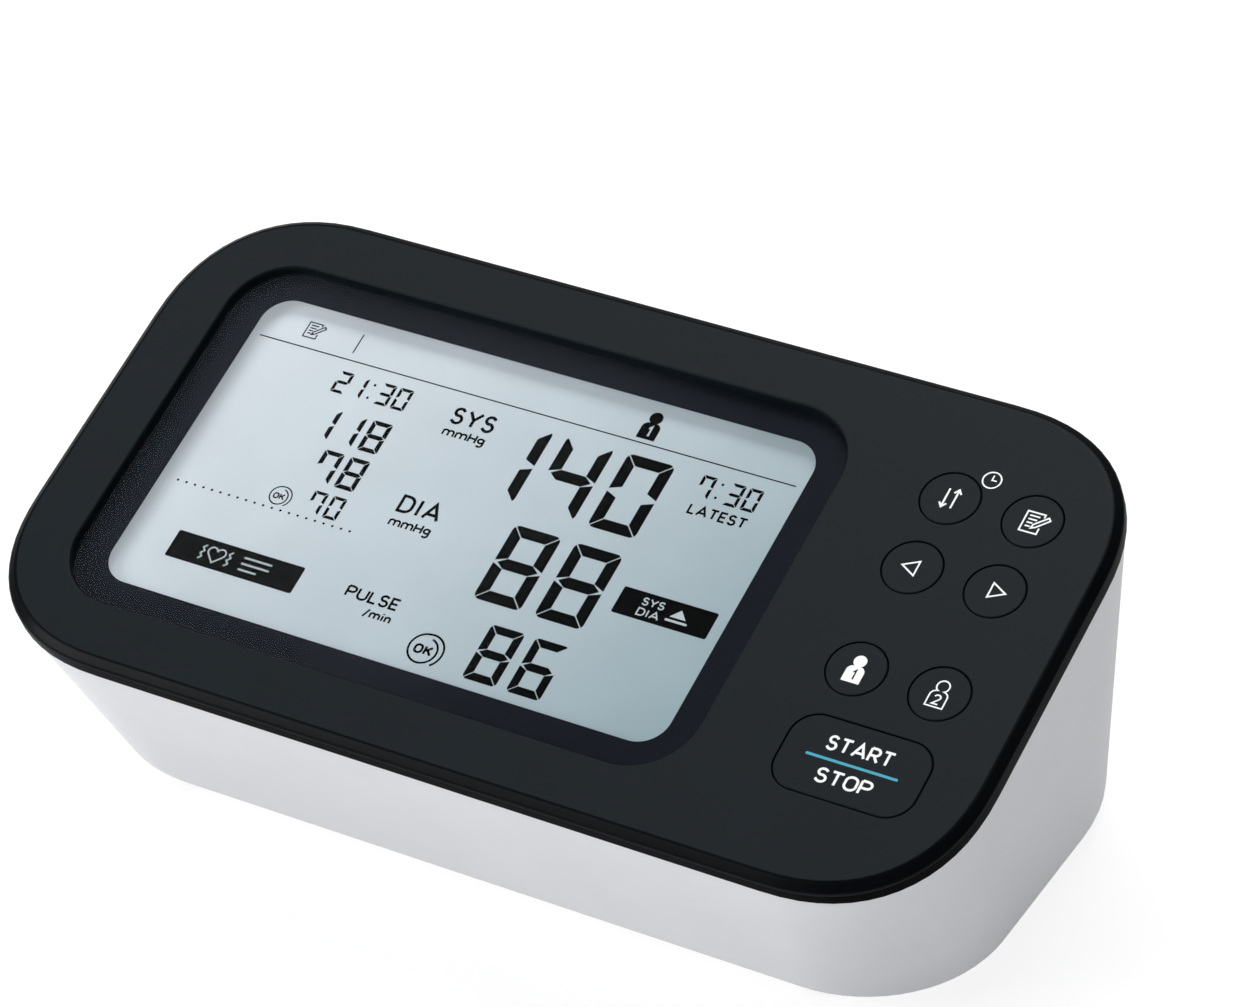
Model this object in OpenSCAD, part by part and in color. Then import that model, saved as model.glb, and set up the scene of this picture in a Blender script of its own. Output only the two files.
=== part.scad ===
// Table-top blood pressure monitor: a tilted dark panel with a display and seven keys
// on a white wedge-shaped body. X is the width, +Y points to the back, Z is up.
// Most pieces are drawn in the panel's own frame: x to the right, y up the slope and
// z out of the panel, with z = 0 on the panel's face. on_panel() puts them in place.

/* [Panel] */
// Width of the panel
panel_w = 191; // [184:1:200]
// Depth of the panel, measured up its slope
panel_d = 101.5; // [99:0.5:108]
// Corner radius of the panel
panel_corner = 30; // [26:1:34]
// Squareness of the corners, where 2 is a true circle
corner_power = 2.33; // [2:0.05:2.5]
// Tilt of the panel from level
tilt = 20; // [17:0.5:22]
// Thickness of the front cover
cover_t = 2.4; // [2:0.1:3]
// Width of the bevel round the panel
bevel_w = 1.7; // [1:0.1:2.5]
// Height of the bevel
bevel_h = 1.2; // [0.8:0.1:1.4]
// Height of the front cover's edge, bevel included
cover_edge = 1.6; // [1.5:0.1:1.9]

/* [Gloss band] */
// Height of the gloss band under the panel
band_h = 2.4; // [2:0.1:4]
// Width of the gloss band, from its outer face inwards
band_t = 3; // [2.6:0.1:3.4]

/* [Body] */
// Height of the panel's centre above the underside
centre_h = 56.7; // [54:0.5:64]
// How far the underside's sides stand in from the panel's
base_in = 6.5; // [4:0.5:9]
// Reach of the underside to the front, from below the panel's centre
base_front = 30.7; // [28:0.5:34]
// Reach of the underside to the back, from below the panel's centre
base_back = 61.2; // [59:0.5:68]
// Corner radius of the underside at the front
base_corner_front = 26; // [20:1:30]
// Corner radius of the underside at the back
base_corner_back = 35; // [28:1:38]
// Rounding of the underside's edge
base_round = 4; // [2:0.5:5]
// Wall thickness of the body
wall = 2.2; // [1.8:0.1:2.6]
// Thickness of the body's floor
floor_t = 2.4; // [2.2:0.1:3]
// How far the body stands inside the band's outline
body_inset = 0.2; // [0:0.1:0.5]

/* [Window and display] */
// From the panel's left side to the window
window_left = 12.775; // [12:0.025:14]
// From the window to the panel's right side, where the keys are
key_field = 52.075; // [50:0.025:56]
// From the panel's front and back edges to the window
window_ends = 12.125; // [11:0.025:14]
// Corner radius of the window's recess
window_corner = 12; // [8:0.5:14]
// Depth from the panel's face down to the window
window_sink = 1.2; // [0.8:0.1:1.6]
// Thickness of the window
window_t = 1.3; // [1:0.1:1.6]
// Width of the ledge that carries the window
ledge_w = 2.6; // [2:0.1:3]
// Thickness of that ledge
ledge_t = 1.5; // [1.2:0.1:2]
// Thickness of the adhesive gasket under the window
gasket_t = 0.3; // [0.2:0.1:0.5]
// From the window's left and right sides in to the display glass
lcd_in_x = 2.075; // [1.8:0.025:3]
// From the window's front and back edges in to the display glass
lcd_in_y = 2.425; // [1.8:0.025:3]
// Thickness of each of the two glass plates
lcd_plate_t = 1.1; // [0.9:0.1:1.2]
// Width of the contact edge on the upper plate
lcd_contact_w = 3.2; // [3:0.1:3.6]

/* [Keys] */
// From the panel's right side in to the right column of round keys
key_in = 16.3; // [15:0.1:17]
// Between the two columns of round keys
key_pitch = 15.5; // [14:0.1:16]
// From the panel's back edge to the row of the sync and memory keys
key_back = 22.3; // [21:0.05:23]
// From that row to the row of the back and forward keys
key_row = 15; // [13.5:0.1:16]
// From the start key up to the row of the user keys
user_row = 17.5; // [17:0.1:19]
// Radius of a round key
key_r = 5.25; // [4.5:0.05:5.4]
// From the panel's front edge to the start key's centre
start_front = 25.05; // [24:0.05:27]
// Width of the start key
start_w = 26; // [22:0.5:26.5]
// Depth of the start key
start_d = 15; // [13:0.5:15.5]
// Corner radius of the start key
start_corner = 4.9; // [3:0.1:6]
// Gap round a key
key_gap = 0.25; // [0.2:0.05:0.3]
// Travel of a key
key_travel = 0.8; // [0.5:0.1:1]

/* [Inside] */
// Thickness of the main board
board_t = 1.6; // [1.2:0.2:2]
// Height of the display's tray
tray_h = 6.6; // [6:0.2:8]
// Diameter of the pump's motor
motor_dia = 24; // [20:0.5:25]
// Length of the pump's motor
motor_l = 30; // [26:1:31]
// Diameter of the pump's head
pump_dia = 27; // [25:0.5:28]
// Length of the pump's head
pump_l = 24; // [20:1:26]
// Outer diameter of the air tubes
tube_dia = 5; // [4.4:0.1:5.4]
// Bore of the air tubes
tube_bore = 2.6; // [2:0.1:3]

/* [Sockets] */
// Height of the air socket above the underside
jack_h = 24.5; // [22:0.5:28]
// Bore of the air socket
jack_bore = 6; // [5:0.1:6.4]
// Depth of the air socket's bore
jack_depth = 10; // [8:0.5:11]
// From the body's right side in to the mains socket
dc_in = 55; // [52:0.5:57]
// Height of the mains socket above the underside
dc_h = 13; // [12:0.5:15]
// Bore of the mains socket
dc_bore = 5.7; // [5.4:0.1:6.4]

/* [Battery bay] */
// Diameter of one cell
cell_dia = 14.2; // [13.5:0.1:14.5]
// Length of one cell, with its button
cell_l = 50.2; // [48:0.1:50.5]
// Length of a battery spring, pressed
spring_l = 4.9; // [4:0.1:5.5]
// Thickness of the battery cover
lid_t = 2; // [1.6:0.1:2]

/* [Feet and screws] */
// Diameter of a rubber foot
foot_dia = 12; // [9:0.5:13]
// Height of the feet below the underside
foot_h = 1.5; // [1:0.1:3]
// From the body's sides in to the front feet
foot_in_front = 22; // [20:1:26]
// From the body's sides in to the back feet
foot_in_back = 13; // [11:1:18]
// Shank diameter of a case screw
screw_dia = 2.6; // [2.2:0.1:3]
// Head diameter of a case screw
screw_head = 5; // [4.4:0.1:5.2]
// Length of a case screw, under its head
screw_l = 12; // [9:0.5:13]

/* [Hidden] */

// General fits
fit_gap = 0.15;     // round a piece that drops into a pocket
slide_gap = 0.3;    // round a piece that moves
thread_gap = 0.05;  // round a screw in its hole
sheet = 0.05;       // height of the thin slices that a smooth wall runs between
through = 1;        // how far a cut runs past a face
corner_steps = 16;  // straight runs in each soft corner
smooth = 48;        // sides of a round piece

// Where the panel lies: the part is centred front to back on the floor
front_reach = cos(tilt) * panel_d / 2 - sin(tilt) * bevel_h;
panel_y = (front_reach - base_back) / 2;
panel_z = foot_h + centre_h;

// Edges of the underside, and the height at which its rounding ends
base_w = panel_w - 2 * base_in;
front_y = panel_y - base_front;
back_y = panel_y + base_back;
base_top = foot_h + base_round;

// Window, display and keys
window_w = panel_w - window_left - key_field;
window_x = window_left + window_w / 2 - panel_w / 2;
window_d = panel_d - 2 * window_ends;
lcd_w = window_w - 2 * lcd_in_x;
lcd_d = window_d - 2 * lcd_in_y;
key_x2 = panel_w / 2 - key_in;
key_x1 = key_x2 - key_pitch;
start_x = (key_x1 + key_x2) / 2;
start_y = start_front - panel_d / 2;
key_y1 = panel_d / 2 - key_back;
key_y2 = key_y1 - key_row;
key_y3 = start_y + user_row;

// Depths below the panel's face
body_top = cover_edge + band_h;
window_top = window_sink;
window_bottom = window_top + window_t;
ledge_top = window_bottom + gasket_t;
ledge_bottom = ledge_top + ledge_t;
frame_t = 2.2;                         // walls round the window and the display
lcd_clear = 0.3;                       // between the ledge and the display glass
lcd_top = ledge_bottom + lcd_clear;
lcd_bottom = lcd_top + 2 * lcd_plate_t;
board_top = ledge_bottom + tray_h;
board_bottom = board_top + board_t;
board_w = panel_w - 14;
board_d = panel_d - 11.5;
board_corner = panel_corner - 7;

// The cover's tongue that locates in the body
tongue_in = band_t + 0.1;              // from the panel's outline in to the tongue
tongue_t = 1.6;
tongue_bottom = body_top + 3;
hook_w = 8;
hook_h = 1.2;
hook_reach = 1.2;
hook_top = body_top + 1.3;
hook_in = 45.5;                        // from the panel's sides to the outer hooks
hook_sites = [hook_in - panel_w / 2, 0, panel_w / 2 - hook_in];

// Case screws, all square to the panel, and board screws
boss_r = 3.2;
boss_bottom = board_bottom + 4.5;
web_t = 3;
well_r = screw_head / 2 + 0.4;
column_r = well_r + 1.7;
column_l = 100;                        // long enough to run out of the body's underside
head_h = 1.8;
screw_clear = 0.25;                    // round a case screw in the body's web
slot_l = 1.2;                          // cross slot of a screw, as shares of its head's
slot_w = 0.24;                         // radius and height
slot_deep = 0.6;
boss_y = (panel_d / 2 - tongue_in - tongue_t + lcd_d / 2 + frame_t) / 2 + 0.3;
screw_in = 31.5;                       // from the panel's sides to the front screws
screw_sites = [[screw_in - panel_w / 2, -boss_y], [panel_w / 2 - screw_in, -boss_y],
    [(window_x + window_w / 2 + key_x1) / 2 - 2, key_y1 - 0.45]];
board_boss_r = 2.4;
board_screw_r = 1;
board_head_r = 2;
board_head_h = 1.4;
board_screw_l = 6.4;
board_boss_gap = 0.6;                  // round a case screw's boss in the board
board_hole_gap = 0.2;                  // round a board screw in the board
board_screw_gap = 0.6;                 // from a board screw's tip to its hole's end
board_site_x = 30;
board_sites = [for (x = [-1, 1], y = [-1, 1]) [x * board_site_x, y * boss_y]];

// Ribs on the cover's inner face: gussets beside each boss, and two along the keys
rib_t = 1.2;
gusset_reach = 2;
gusset_bottom = 8;
rib_sites = [(key_y2 + key_y3) / 2, key_y1 + key_r + 4];

// Keys
key_edge = 0.15;                       // softened edge of a key's face
flange_w = 1.1;
flange_t = 0.9;
key_tab_w = 1.6;
key_tab_reach = 0.8;                   // past the flange
flange_rest = 0.1;                     // under the cover when the key is up
collar_t = 0.8;
collar_h = 2.2;
stem_r = 2;
mat_t = 1;
mat_margin = 3.5;                      // from a key to the mat's back and right edges
mat_front = 3;                         // from the start key to its front edge
mat_corner = 3;
mat_boss_gap = 0.8;
dome_h = 2.2;
dome_r = 4.2;
dome_top_r = 2.6;
stem_bottom = board_top - mat_t - dome_h - key_travel - 0.1;
key_sites = [[key_x1, key_y1], [key_x2, key_y1], [key_x1, key_y2],
    [key_x2, key_y2], [key_x1, key_y3], [key_x2, key_y3]];

// What the board carries on its lower face: sites in the panel's frame, and sizes
chip_site = [-40, 5];
chip_size = [14, 14, 1.6];
capacitor_site = [-8, 18];
capacitor_pitch = 9;
capacitor_r = 3;
capacitor_h = 7;
buzzer_r = 6;
buzzer_h = 5;
buzzer_hole_r = 1.2;
buzzer_site = [14.5 - board_w / 2, -2 * buzzer_r];
radio_size = [18, 13, 1];
screen_size = [12, 10, 1.8];
radio_in = 7.5;                        // from the board's right edge
radio_site = [board_w / 2 - radio_size[0] / 2 - radio_in, 8];
screen_site = radio_site - [2, 0];

// Tray and contact strips of the display
tray_lip = 2;                          // shelf under the display's left and right sides
tray_web = 1.5;
strip_in = 6;                          // from the display's sides in to a strip's end
strip_w = 2.2;
gasket_in = 0.1;                       // from the window's edge in to the gasket's

// Inside of the body
floor_z = foot_h + floor_t;
saddle_t = 3;
saddle_lip = 2;
motor_shaft_l = 2;
motor_shaft_r = motor_dia / 5;         // the bearing's boss round the shaft's end
motor_gap = 2.7;                       // from the motor's shaft to the body's wall
terminal_size = [motor_shaft_l, 2.4, 0.5];
terminal_y = 7.5;                      // from the motor's middle to each terminal
pump_plates = 3;                       // plates that the pump's head is stacked from
pump_groove = 0.5;                     // width and depth of the grooves between them
sleeve_t = 2;
sleeve_in = 2;                         // from the pump's head in to the sleeve's end
sleeve_back = 4;                       // from the motor's end in to the sleeve's end
nozzle_l = 6;
bend_r = 6;

// Pump: lies across the body, by its right side
pump_x = base_w / 2 - wall - motor_gap - motor_shaft_l - motor_l - pump_l;
pump_z = floor_z + pump_dia / 2 + sleeve_t + 0.2;
pump_saddle_x = [pump_x + saddle_t + 2, pump_x + pump_l + motor_l - 3 * saddle_t - 1];
drop_x = pump_x - nozzle_l - bend_r;

// Battery bay: left of the pump's tube, against the body's back wall
cell_gap = 0.7;
bay_side_gap = 0.5;
bay_rib_w = 2;
bay_rib_h = 3.5;
cell_rest = 0.3;                       // between the cover and the cells
cell_pitch = cell_dia + cell_gap;
bay_w = 4 * cell_pitch + 2 * bay_side_gap;
bay_wall = 2;
bay_back_gap = 1.04;
lid_ledge = 2;
lid_gap = 0.3;
lid_seat = lid_t + 0.1;
bay_roof = foot_h + lid_seat + cell_dia + 2 * cell_rest;
plate_t = 0.4;
plate_side = 10;
button_r = 2.7;
button_h = 1;
spring_r = 4;                          // of the spring's wide end, on its plate
spring_turns = 3.5;
spring_steps = 16;                     // rings in each turn
wire_r = 0.35;
wire_sides = 6;
bay_d = cell_l + spring_l + 2 * plate_t + 0.1;
bay_x = drop_x - tube_dia / 2 - 1 - lid_ledge - bay_wall - bay_w;
bay_y = back_y - wall - bay_back_gap - lid_ledge - bay_wall - bay_d;
lid_w = bay_w + 2 * (lid_ledge - lid_gap);
lid_d = bay_d + 2 * (lid_ledge - lid_gap);
lid_x = bay_x - lid_ledge + lid_gap;
lid_y = bay_y - lid_ledge + lid_gap;
hinge_r = lid_t / 2;                   // the cover's round front edge, on its hinge line
pin_r = 0.6;
pin_l = 1.2;
pin_gap = 0.15;
latch_w = 12;
notch_l = 2.4;
notch_h = 1.4;
grip_count = 4;
grip_pitch = 2.4;
grip_w = 1.2;
grip_deep = 0.5;

// Air line: runs across the body in front of the battery bay
junction_r = 3.5;
valve_r = 6;
valve_l = 20;
yoke_t = 1.2;                          // plates of the valve's steel yoke
yoke_r = valve_r + 0.8;                // half its width
yoke_deep = 0.4;                       // how far its top sits in the coil
air_y = bay_y - bay_wall - lid_ledge - junction_r - 1.5;
air_z = foot_h + 9;
pump_gap = 8.5;                        // between the valve and the pump's sleeve
pump_y = air_y + valve_r + pump_gap + sleeve_t + pump_dia / 2;
junction_x2 = drop_x + 6;
sensor_x = drop_x - 10.1;
junction_x1 = sensor_x - 6;
spigot_h = 2;
sensor_rise = 12;
sensor_bend_r = 14;
sensor_h = 6;
junction_top = air_z + junction_r;
// The sensor sits where the panel's normal through its tube's corner meets the board
sensor_corner_z = junction_top + sensor_rise;
sensor_v = cos(tilt) * (air_y - panel_y) + sin(tilt) * (sensor_corner_z - panel_z);
sensor_nozzle_bottom = board_bottom + sensor_h + 4;
valve_nozzle_l = 3;
bend_steps = 5;
tube_sides = 10;
valve_x = junction_x2 + 8;
sensor_side = 10;
nozzle_wall = 1.2;
valve_saddle_x = [valve_x + 3, valve_x + valve_l - 6];
junction_saddle_x = [junction_x1 + 1, junction_x2 - 4];

// Where the body's sloping wall stands at a height: its left side, and its back
side_top = panel_place(panel_w / 2 - body_inset,
    (air_y - panel_y - body_top * sin(tilt)) / cos(tilt), -body_top);
back_top = panel_place(0, panel_d / 2 - body_inset, -body_top);

// Air socket on the left side
socket_sink = 1.7;                     // from the wall down to the flat round a socket
jack_z = foot_h + jack_h;
jack_r = jack_bore / 2 + 2;
jack_face = side_x(jack_z) - socket_sink;
jack_pad_t = 4;
jack_flange_r = jack_r + 2;
jack_flange_t = 1.5;
jack_pad_r = jack_flange_r + 1.5;
jack_tail_x = -jack_face + jack_depth + 2;

// Mains socket on the back
dc_x = base_w / 2 - dc_in;
dc_z = foot_h + dc_h;
dc_r = dc_bore / 2 + 1.2;
dc_depth = 9;
dc_pin_r = 0.9;
dc_pin_l = dc_depth - 1;
dc_face = wall_back_y(dc_z) - socket_sink;
dc_pad_t = 4;
dc_recess_r = dc_r + 1.8;
dc_pad_r = dc_r + 4;
dc_box = [10, 12, 11];
socket_cut = 20;                       // length of a cut that clears the wall outside

// Feet
foot_sink = 0.8;
foot_edge = 0.6;
foot_front_y = front_y + 17;
foot_back_y = back_y - 27;
foot_sites = [for (s = [-1, 1])
    each [[s * (base_w / 2 - foot_in_front), foot_front_y],
        [s * (base_w / 2 - foot_in_back), foot_back_y]]];

// ---------- shapes that repeat ----------

// Places its children in the panel's frame
module on_panel() {
    translate([0, panel_y, panel_z])
        rotate([tilt, 0, 0])
            children();
}

// The same move for one place in the panel's frame
function panel_place(x, y, z) =
    [x, panel_y + y * cos(tilt) - z * sin(tilt), panel_z + y * sin(tilt) + z * cos(tilt)];

// The body's side and back walls at a height, in plan
function side_x(z) =
    base_w / 2 + (side_top[0] - base_w / 2) * (z - base_top) / (side_top[2] - base_top);
function wall_back_y(z) =
    back_y + (back_top[1] - back_y) * (z - base_top) / (back_top[2] - base_top);

// A slab in the panel's frame between two depths below its face
module layer(top, bottom) {
    translate([0, 0, -bottom])
        linear_extrude(bottom - top)
            children();
}

// One point of a soft corner of radius r, at angle a
function soft_point(r, a) =
    [r * pow(abs(cos(a)), 2 / corner_power), r * pow(abs(sin(a)), 2 / corner_power)];

// A rectangle with soft corners: the outline of the panel and of all that follows it
module soft_rect(w, d, r) {
    signs = [[1, 1], [-1, 1], [-1, -1], [1, -1]];
    polygon([for (q = [0 : 3]) for (i = [0 : corner_steps])
        let (turn = 90 * i / corner_steps,
             p = soft_point(r, q % 2 == 0 ? turn : 90 - turn))
            [signs[q][0] * (w / 2 - r + p[0]), signs[q][1] * (d / 2 - r + p[1])]]);
}

// The panel's outline, drawn in by a distance
module panel_outline(inset) {
    soft_rect(panel_w - 2 * inset, panel_d - 2 * inset, panel_corner - inset);
}

// The underside's outline, drawn in by a distance
module base_outline(inset) {
    corners = [[1, base_back, base_corner_back, 0], [-1, base_back, base_corner_back, 90],
        [-1, -base_front, base_corner_front, 180], [1, -base_front, base_corner_front, 270]];
    translate([0, panel_y])
        polygon([for (c = corners) for (i = [0 : corner_steps])
            let (turn = c[3] + 90 * i / corner_steps, r = c[2] - inset)
                [c[0] * (base_w / 2 - c[2]) + r * cos(turn),
                 c[1] - sign(c[1]) * c[2] + r * sin(turn)]]);
}

// A rectangle with true round corners, as two bars and four discs
module round_rect(w, d, r) {
    square([w - 2 * r, d], center = true);
    square([w, d - 2 * r], center = true);
    for (x = [-1, 1], y = [-1, 1])
        translate([x * (w / 2 - r), y * (d / 2 - r)])
            circle(r, $fn = smooth);
}

// The window's outline, grown by a distance
module window_outline(grow) {
    translate([window_x, 0])
        round_rect(window_w + 2 * grow, window_d + 2 * grow, window_corner + grow);
}

// The start key's outline, grown by a distance
module start_outline(grow) {
    translate([start_x, start_y])
        round_rect(start_w + 2 * grow, start_d + 2 * grow, start_corner + grow);
}

// The outlines of the six round keys, grown by a distance
module key_outlines(grow) {
    for (p = key_sites)
        translate(p)
            circle(key_r + grow, $fn = smooth);
}

// The body's outer form: a smooth wall from the band down to the rounded underside
module body_form() {
    hull() {
        on_panel()
            layer(body_top, body_top + sheet)
                panel_outline(body_inset);
        for (a = [0 : 15 : 90])
            translate([0, 0, foot_h + base_round * (1 - sin(a))])
                linear_extrude(sheet)
                    base_outline(base_round * (1 - cos(a)));
    }
}

// The space inside the body's wall, open at the top
module body_space() {
    hull() {
        on_panel()
            layer(body_top - through, body_top + sheet)
                panel_outline(body_inset + wall);
        translate([0, 0, floor_z])
            linear_extrude(sheet)
                base_outline(wall + 1);
        translate([0, 0, floor_z + 1])
            linear_extrude(sheet)
                base_outline(wall);
    }
}

// A rod along X between two places
module rod_x(x1, x2, r) {
    translate([x1, 0, 0])
        rotate([0, 90, 0])
            cylinder(h = x2 - x1, r = r, $fn = smooth);
}

// A straight piece of tube along X between two places
module tube_x(x1, x2) {
    difference() {
        rod_x(x1, x2, tube_dia / 2);
        rod_x(x1 - through, x2 + through, tube_bore / 2);
    }
}

function unit(v) = v / norm(v);

// Stations along a route of straight runs and true bends: each a place and its heading
function stations(route, r) = concat(
    [[route[0], unit(route[1] - route[0])]],
    [for (i = [1 : len(route) - 2])
        let (in = unit(route[i] - route[i - 1]), out = unit(route[i + 1] - route[i]),
             turn = acos(in * out), side = unit(out - in * cos(turn)),
             start = route[i] - in * r * tan(turn / 2))
            for (a = [0 : turn / bend_steps : turn + 0.01])
                [start + r * (in * sin(a) + side * (1 - cos(a))),
                 in * cos(a) + side * sin(a)]],
    [[route[len(route) - 1],
      unit(route[len(route) - 1] - route[len(route) - 2])]]);

// The ring of points round one station
function ring(s, r) =
    let (u = unit(cross(s[1], [1, -1, 1])), v = cross(s[1], u))
        [for (k = [0 : tube_sides - 1])
            let (a = 360 * k / tube_sides) s[0] + r * (cos(a) * u + sin(a) * v)];

// A bent hollow tube along a route
module bent_tube(route, r) {
    line = stations(route, r);
    n = len(line);
    k = tube_sides;
    points = [for (wall_r = [tube_dia / 2, tube_bore / 2]) for (s = line) each ring(s, wall_r)];
    walls = [for (i = [0 : n - 2]) for (j = [0 : k - 1])
        let (a = i * k + j, b = i * k + (j + 1) % k)
            each [[a, a + k, b + k, b], [n * k + b, n * k + b + k, n * k + a + k, n * k + a]]];
    ends = [for (j = [0 : k - 1])
        let (a = j, b = (j + 1) % k, c = (n - 1) * k)
            each [[a, b, n * k + b, n * k + a],
                [c + b, c + a, n * k + c + a, n * k + c + b]]];
    polyhedron(points, concat(walls, ends));
}

// ---------- the case ----------

// The white tub with its screw columns, battery bay and saddles
module body_shell() {
    color("whitesmoke")
        difference() {
            union() {
                difference() {
                    body_form();
                    body_space();
                }
                intersection() {
                    body_form();
                    union() {
                        shell_columns();
                        bay_block();
                        saddles();
                        jack_pads();
                    }
                }
            }
            shell_cuts();
        }
}

// Columns that carry the case screws up to the front cover's bosses
module shell_columns() {
    on_panel()
        for (p = screw_sites)
            translate([p[0], p[1], -boss_bottom - column_l])
                cylinder(h = column_l, r = column_r, $fn = smooth);
}

// The block that the battery bay is sunk into
module bay_block() {
    translate([bay_x - bay_wall - lid_ledge, bay_y - bay_wall - lid_ledge, foot_h])
        cube([bay_w + 2 * (bay_wall + lid_ledge), bay_d + 2 * (bay_wall + lid_ledge),
            bay_roof + bay_wall - foot_h]);
}

// Ribs on the bay's roof, in the hollow between each cell and the next
module bay_ribs() {
    for (i = [1 : 3])
        translate([bay_x + bay_side_gap + cell_pitch * i - bay_rib_w / 2, bay_y - through,
                bay_roof - bay_rib_h])
            cube([bay_rib_w, bay_d + 2 * through, bay_rib_h + through]);
}

// Ribs that cradle the pump, the valve and the junction
module saddles() {
    for (x = pump_saddle_x)
        pump_saddle(x);
    for (x = valve_saddle_x)
        low_saddle(x, valve_r);
    for (x = junction_saddle_x)
        low_saddle(x, junction_r);
}

// One rib under the pump's sleeve
module pump_saddle(x) {
    r = pump_dia / 2 + sleeve_t + fit_gap;
    translate([x, pump_y, 0])
        difference() {
            translate([0, -r - saddle_lip, foot_h])
                cube([saddle_t, 2 * (r + saddle_lip), pump_z - foot_h]);
            translate([0, 0, pump_z])
                rod_x(-through, saddle_t + through, r);
        }
}

// One rib under a piece of the air line
module low_saddle(x, r) {
    translate([x, air_y, 0])
        difference() {
            translate([0, -r - saddle_lip, foot_h])
                cube([saddle_t, 2 * (r + saddle_lip), air_z - foot_h]);
            translate([0, 0, air_z])
                rod_x(-through, saddle_t + through, r + fit_gap);
        }
}

// Thick places in the wall that hold the two sockets
module jack_pads() {
    translate([-jack_face, air_y, jack_z])
        rod_x(0, jack_pad_t, jack_pad_r);
    translate([dc_x, dc_face - dc_pad_t, dc_z])
        rotate([-90, 0, 0])
            cylinder(h = dc_pad_t, r = dc_pad_r, $fn = smooth);
}

// Everything that is cut from the tub
module shell_cuts() {
    // wells, and holes for the case screws
    on_panel()
        for (p = screw_sites)
            translate([p[0], p[1], 0]) {
                translate([0, 0, -boss_bottom - web_t - column_l])
                    cylinder(h = column_l, r = well_r, $fn = smooth);
                translate([0, 0, -boss_bottom - web_t - through])
                    cylinder(h = web_t + 2 * through, d = screw_dia + 2 * screw_clear,
                        $fn = smooth);
            }
    // battery bay, its cover's seat, and the snap-in seats of the cover's two pins
    difference() {
        translate([bay_x, bay_y, foot_h - through])
            cube([bay_w, bay_d, bay_roof - foot_h + through]);
        bay_ribs();
    }
    translate([lid_x - lid_gap, lid_y - lid_gap, foot_h - through])
        cube([lid_w + 2 * lid_gap, lid_d + 2 * lid_gap, lid_seat + through]);
    translate([0, lid_y + hinge_r, foot_h + hinge_r]) {
        pin_reach = pin_l + lid_gap;
        rod_x(lid_x - pin_reach, lid_x + lid_w + pin_reach, pin_r + pin_gap);
        translate([lid_x - pin_reach, pin_gap - pin_r, -hinge_r - through])
            cube([lid_w + 2 * pin_reach, 2 * (pin_r - pin_gap), hinge_r + through]);
    }
    // finger notch behind the cover's latch
    translate([bay_x + bay_w / 2 - latch_w / 2, lid_y + lid_d, foot_h - through])
        cube([latch_w, notch_l, notch_h + through]);
    // pockets for the cover's hooks
    on_panel()
        for (x = hook_sites)
            translate([x - hook_w / 2 - slide_gap,
                    panel_d / 2 - body_inset - wall - through,
                    -hook_top - hook_h - slide_gap])
                cube([hook_w + 2 * slide_gap, 2 * through, hook_h + 2 * slide_gap]);
    // air socket
    translate([-jack_face, air_y, jack_z]) {
        rod_x(-socket_cut, 0, jack_flange_r);
        rod_x(-through, jack_pad_t + through, jack_r + fit_gap);
    }
    // mains socket
    translate([dc_x, dc_face, dc_z])
        rotate([-90, 0, 0]) {
            cylinder(h = socket_cut, r = dc_recess_r, $fn = smooth);
            translate([0, 0, -dc_pad_t - through])
                cylinder(h = dc_pad_t + 2 * through, r = dc_r + fit_gap, $fn = smooth);
        }
    // seats of the feet
    for (p = foot_sites)
        translate([p[0], p[1], foot_h - through])
            cylinder(h = foot_sink + through, d = foot_dia + 2 * fit_gap, $fn = smooth);
}

// The gloss black band between the panel and the body
module rim_trim() {
    color("black")
        on_panel()
            layer(cover_edge, body_top)
                difference() {
                    panel_outline(0);
                    panel_outline(band_t);
                }
}

// The matt panel with its bevel, tongue, window recess, bosses and key guides
module front_cover() {
    color([0.13, 0.15, 0.17])
        on_panel()
            difference() {
                union() {
                    difference() {
                        cover_form();
                        layer(cover_t, tongue_bottom + through)
                            panel_outline(tongue_in + tongue_t);
                    }
                    cover_inside();
                }
                cover_cuts();
            }
}

// The bevelled plate and the outside of its tongue
module cover_form() {
    hull() {
        layer(0, sheet)
            panel_outline(bevel_w);
        layer(bevel_h, cover_edge)
            panel_outline(0);
    }
    layer(cover_edge - sheet, tongue_bottom)
        panel_outline(tongue_in);
    for (x = hook_sites)
        translate([x - hook_w / 2, panel_d / 2 - tongue_in - tongue_t / 2,
                -hook_top - hook_h])
            cube([hook_w, tongue_t / 2 + hook_reach, hook_h]);
}

// What stands on the cover's inner face
module cover_inside() {
    layer(cover_t - sheet, ledge_bottom)
        window_outline(frame_t);
    layer(cover_t - sheet, cover_t + collar_h) {
        key_outlines(flange_w + slide_gap + collar_t);
        start_outline(flange_w + slide_gap + collar_t);
        key_ribs();
    }
    for (p = screw_sites)
        translate(p) {
            layer(cover_t - sheet, boss_bottom)
                circle(boss_r, $fn = smooth);
            gussets(boss_r);
        }
    for (p = board_sites)
        translate(p) {
            layer(cover_t - sheet, board_top)
                circle(board_boss_r, $fn = smooth);
            gussets(board_boss_r);
        }
}

// Two tapering ribs that brace a boss, left and right of it
module gussets(r) {
    wide = r + gusset_reach;
    narrow = r - rib_t / 2;
    top = sheet - cover_t;
    rotate([90, 0, 0])
        translate([0, 0, -rib_t / 2])
            linear_extrude(rib_t)
                polygon([[-wide, top], [-narrow, -gusset_bottom],
                    [narrow, -gusset_bottom], [wide, top]]);
}

// Ribs across the cover between the window's frame and its tongue
module key_ribs() {
    x1 = window_x + window_w / 2 + frame_t / 2;
    intersection() {
        panel_outline(tongue_in + tongue_t / 2);
        for (y = rib_sites)
            translate([x1, y - rib_t / 2])
                square([panel_w / 2 - x1, rib_t]);
    }
}

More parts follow.
